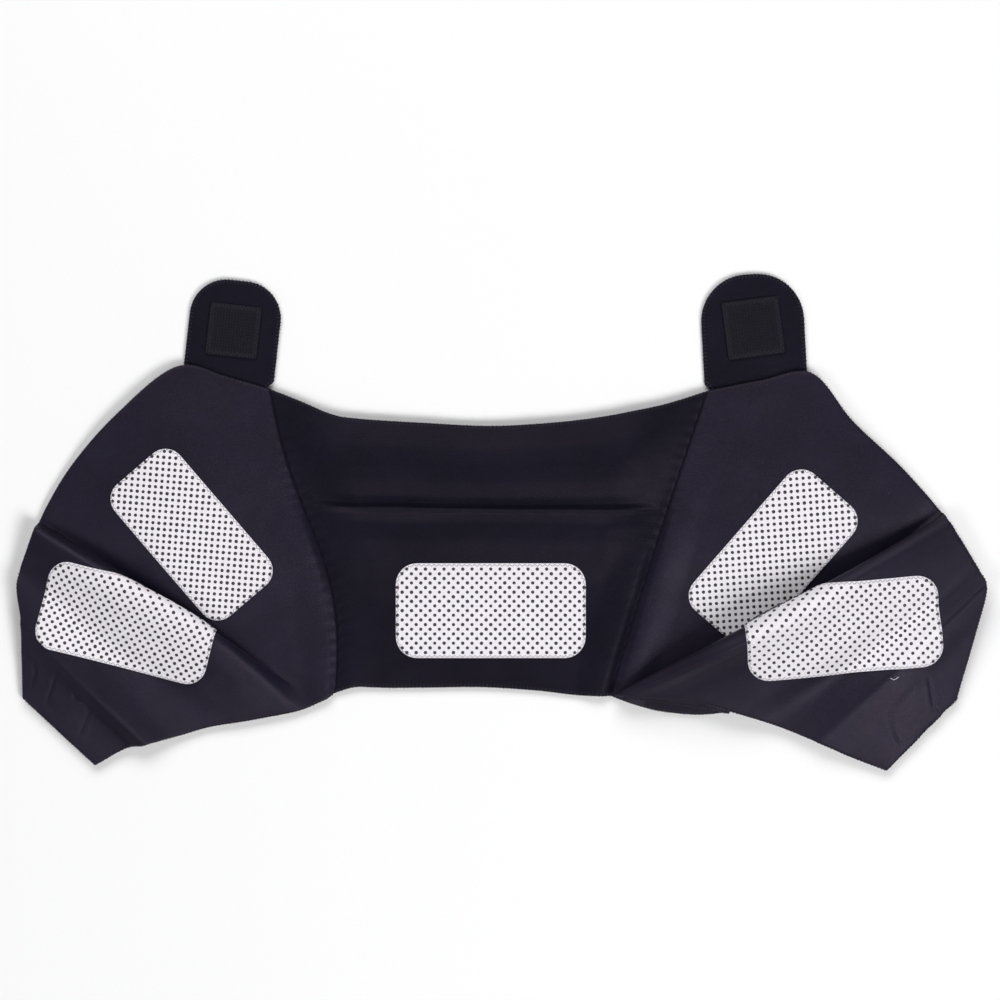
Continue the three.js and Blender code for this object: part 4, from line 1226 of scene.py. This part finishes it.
# %% Table and light
FLOOR_Z = -0.0003
FLOOR_REACH = 6.0
floor_mesh = bpy.data.meshes.new("table_top")
corners = [(x * FLOOR_REACH, y * FLOOR_REACH, FLOOR_Z) for x, y in ((-1, -1), (1, -1), (1, 1), (-1, 1))]
floor_mesh.from_pydata(corners, [], [(0, 1, 2, 3)])
floor = bpy.data.objects.new("table_top", floor_mesh)
scene.collection.objects.link(floor)
floor_material, floor_shader = shader("table_white", Roughness=0.9, Specular_IOR_Level=0.1)
floor_shader.inputs["Base Color"].default_value = (0.93, 0.93, 0.935, 1)
floor_mesh.materials.append(floor_material)


def soft_box(name, place, size, power, tint=(1, 1, 1)):
    """A large soft light that looks at the brace."""
    data = bpy.data.lights.new(name, "AREA")
    data.shape = "RECTANGLE"
    data.size, data.size_y = size
    data.energy = power
    data.color = tint
    light = bpy.data.objects.new(name, data)
    scene.collection.objects.link(light)
    light.location = place
    light.rotation_mode = "QUATERNION"
    light.rotation_quaternion = (-Vector(place)).to_track_quat("-Z", "Y")


soft_box("far", (-0.3, 1.7, 1.6), (2.2, 1.2), 37)
soft_box("near_left", (-1.0, -1.0, 1.9), (0.9, 0.9), 8.5)
soft_box("near_right", (0.95, -1.1, 1.9), (1.0, 1.0), 35)
world = bpy.data.worlds.new("studio")
scene.world = world
world.use_nodes = True
world.node_tree.nodes["Background"].inputs["Color"].default_value = (1, 1, 1, 1)
world.node_tree.nodes["Background"].inputs["Strength"].default_value = 0.10
scene.view_settings.view_transform = "Standard"
print("lights:", len(bpy.data.lights))

# %% [markdown]
# ## Hand each piece to the frame
#
# Every piece rides on the brace's one body and stands for its solid, which is hidden. The size each cloth
# panel was cut to is printed, and what is sewn on a sheet goes with it.


# %% Ride, replace and print cut sizes
def hand_over(pieces, nodes=()):
    """Fixes pieces to the body, and hides the solids that they stand for."""
    for piece in pieces:
        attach(piece, "root")
    if nodes:
        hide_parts(*nodes)


def cut_size(sheet):
    """The flat width, length and area of a sheet's cut, in metres."""
    mid = sheet["mid"]
    one, two = np.diff(mid, axis=0)[:, :-1], np.diff(mid, axis=1)[:-1]
    area = np.linalg.norm(np.cross(one, two), axis=-1).sum()
    return (float(sheet["along"].max() * MM), float(sheet["down"].max() * MM)), float(area) * MM * MM


def declare(sheet, piece):
    """Prints a panel's cut size and area as a sheet of cloth."""
    flat, area = cut_size(sheet)
    area = min(max(area, 0.31 * flat[0] * flat[1]), flat[0] * flat[1])
    print(piece.name, "was cut to", [round(x, 3) for x in flat], "m, area", round(area, 4), "m2")


for name, sheet, wing in (("left", left_sheet, left_wing), ("right", right_sheet, right_wing)):
    extras = [edgings[name], seams[name], *marks[name]]
    hand_over([wing, *extras], [name + "_wing"])
    declare(sheet, wing)
    hand_over([loop_pieces[name]], [name + "_loop_patch"])
back_extras = [edgings["back_neck"], edgings["back_top"]]
hand_over([back_panel, *back_extras], ["back_panel"])
declare(back_sheet, back_panel)
for pad in PADS:
    felt_patch, dots, border = pad_pieces[pad["name"]]
    hand_over([felt_patch, dots, border], [pad["name"]])
for tab in TABS:
    cloth, edging, tape, hooks, border = tab_pieces[tab["name"]]
    hand_over([cloth, edging], [tab["name"] + "_tab"])
    hand_over([tape, hooks, border], [tab["name"] + "_hook_patch"])
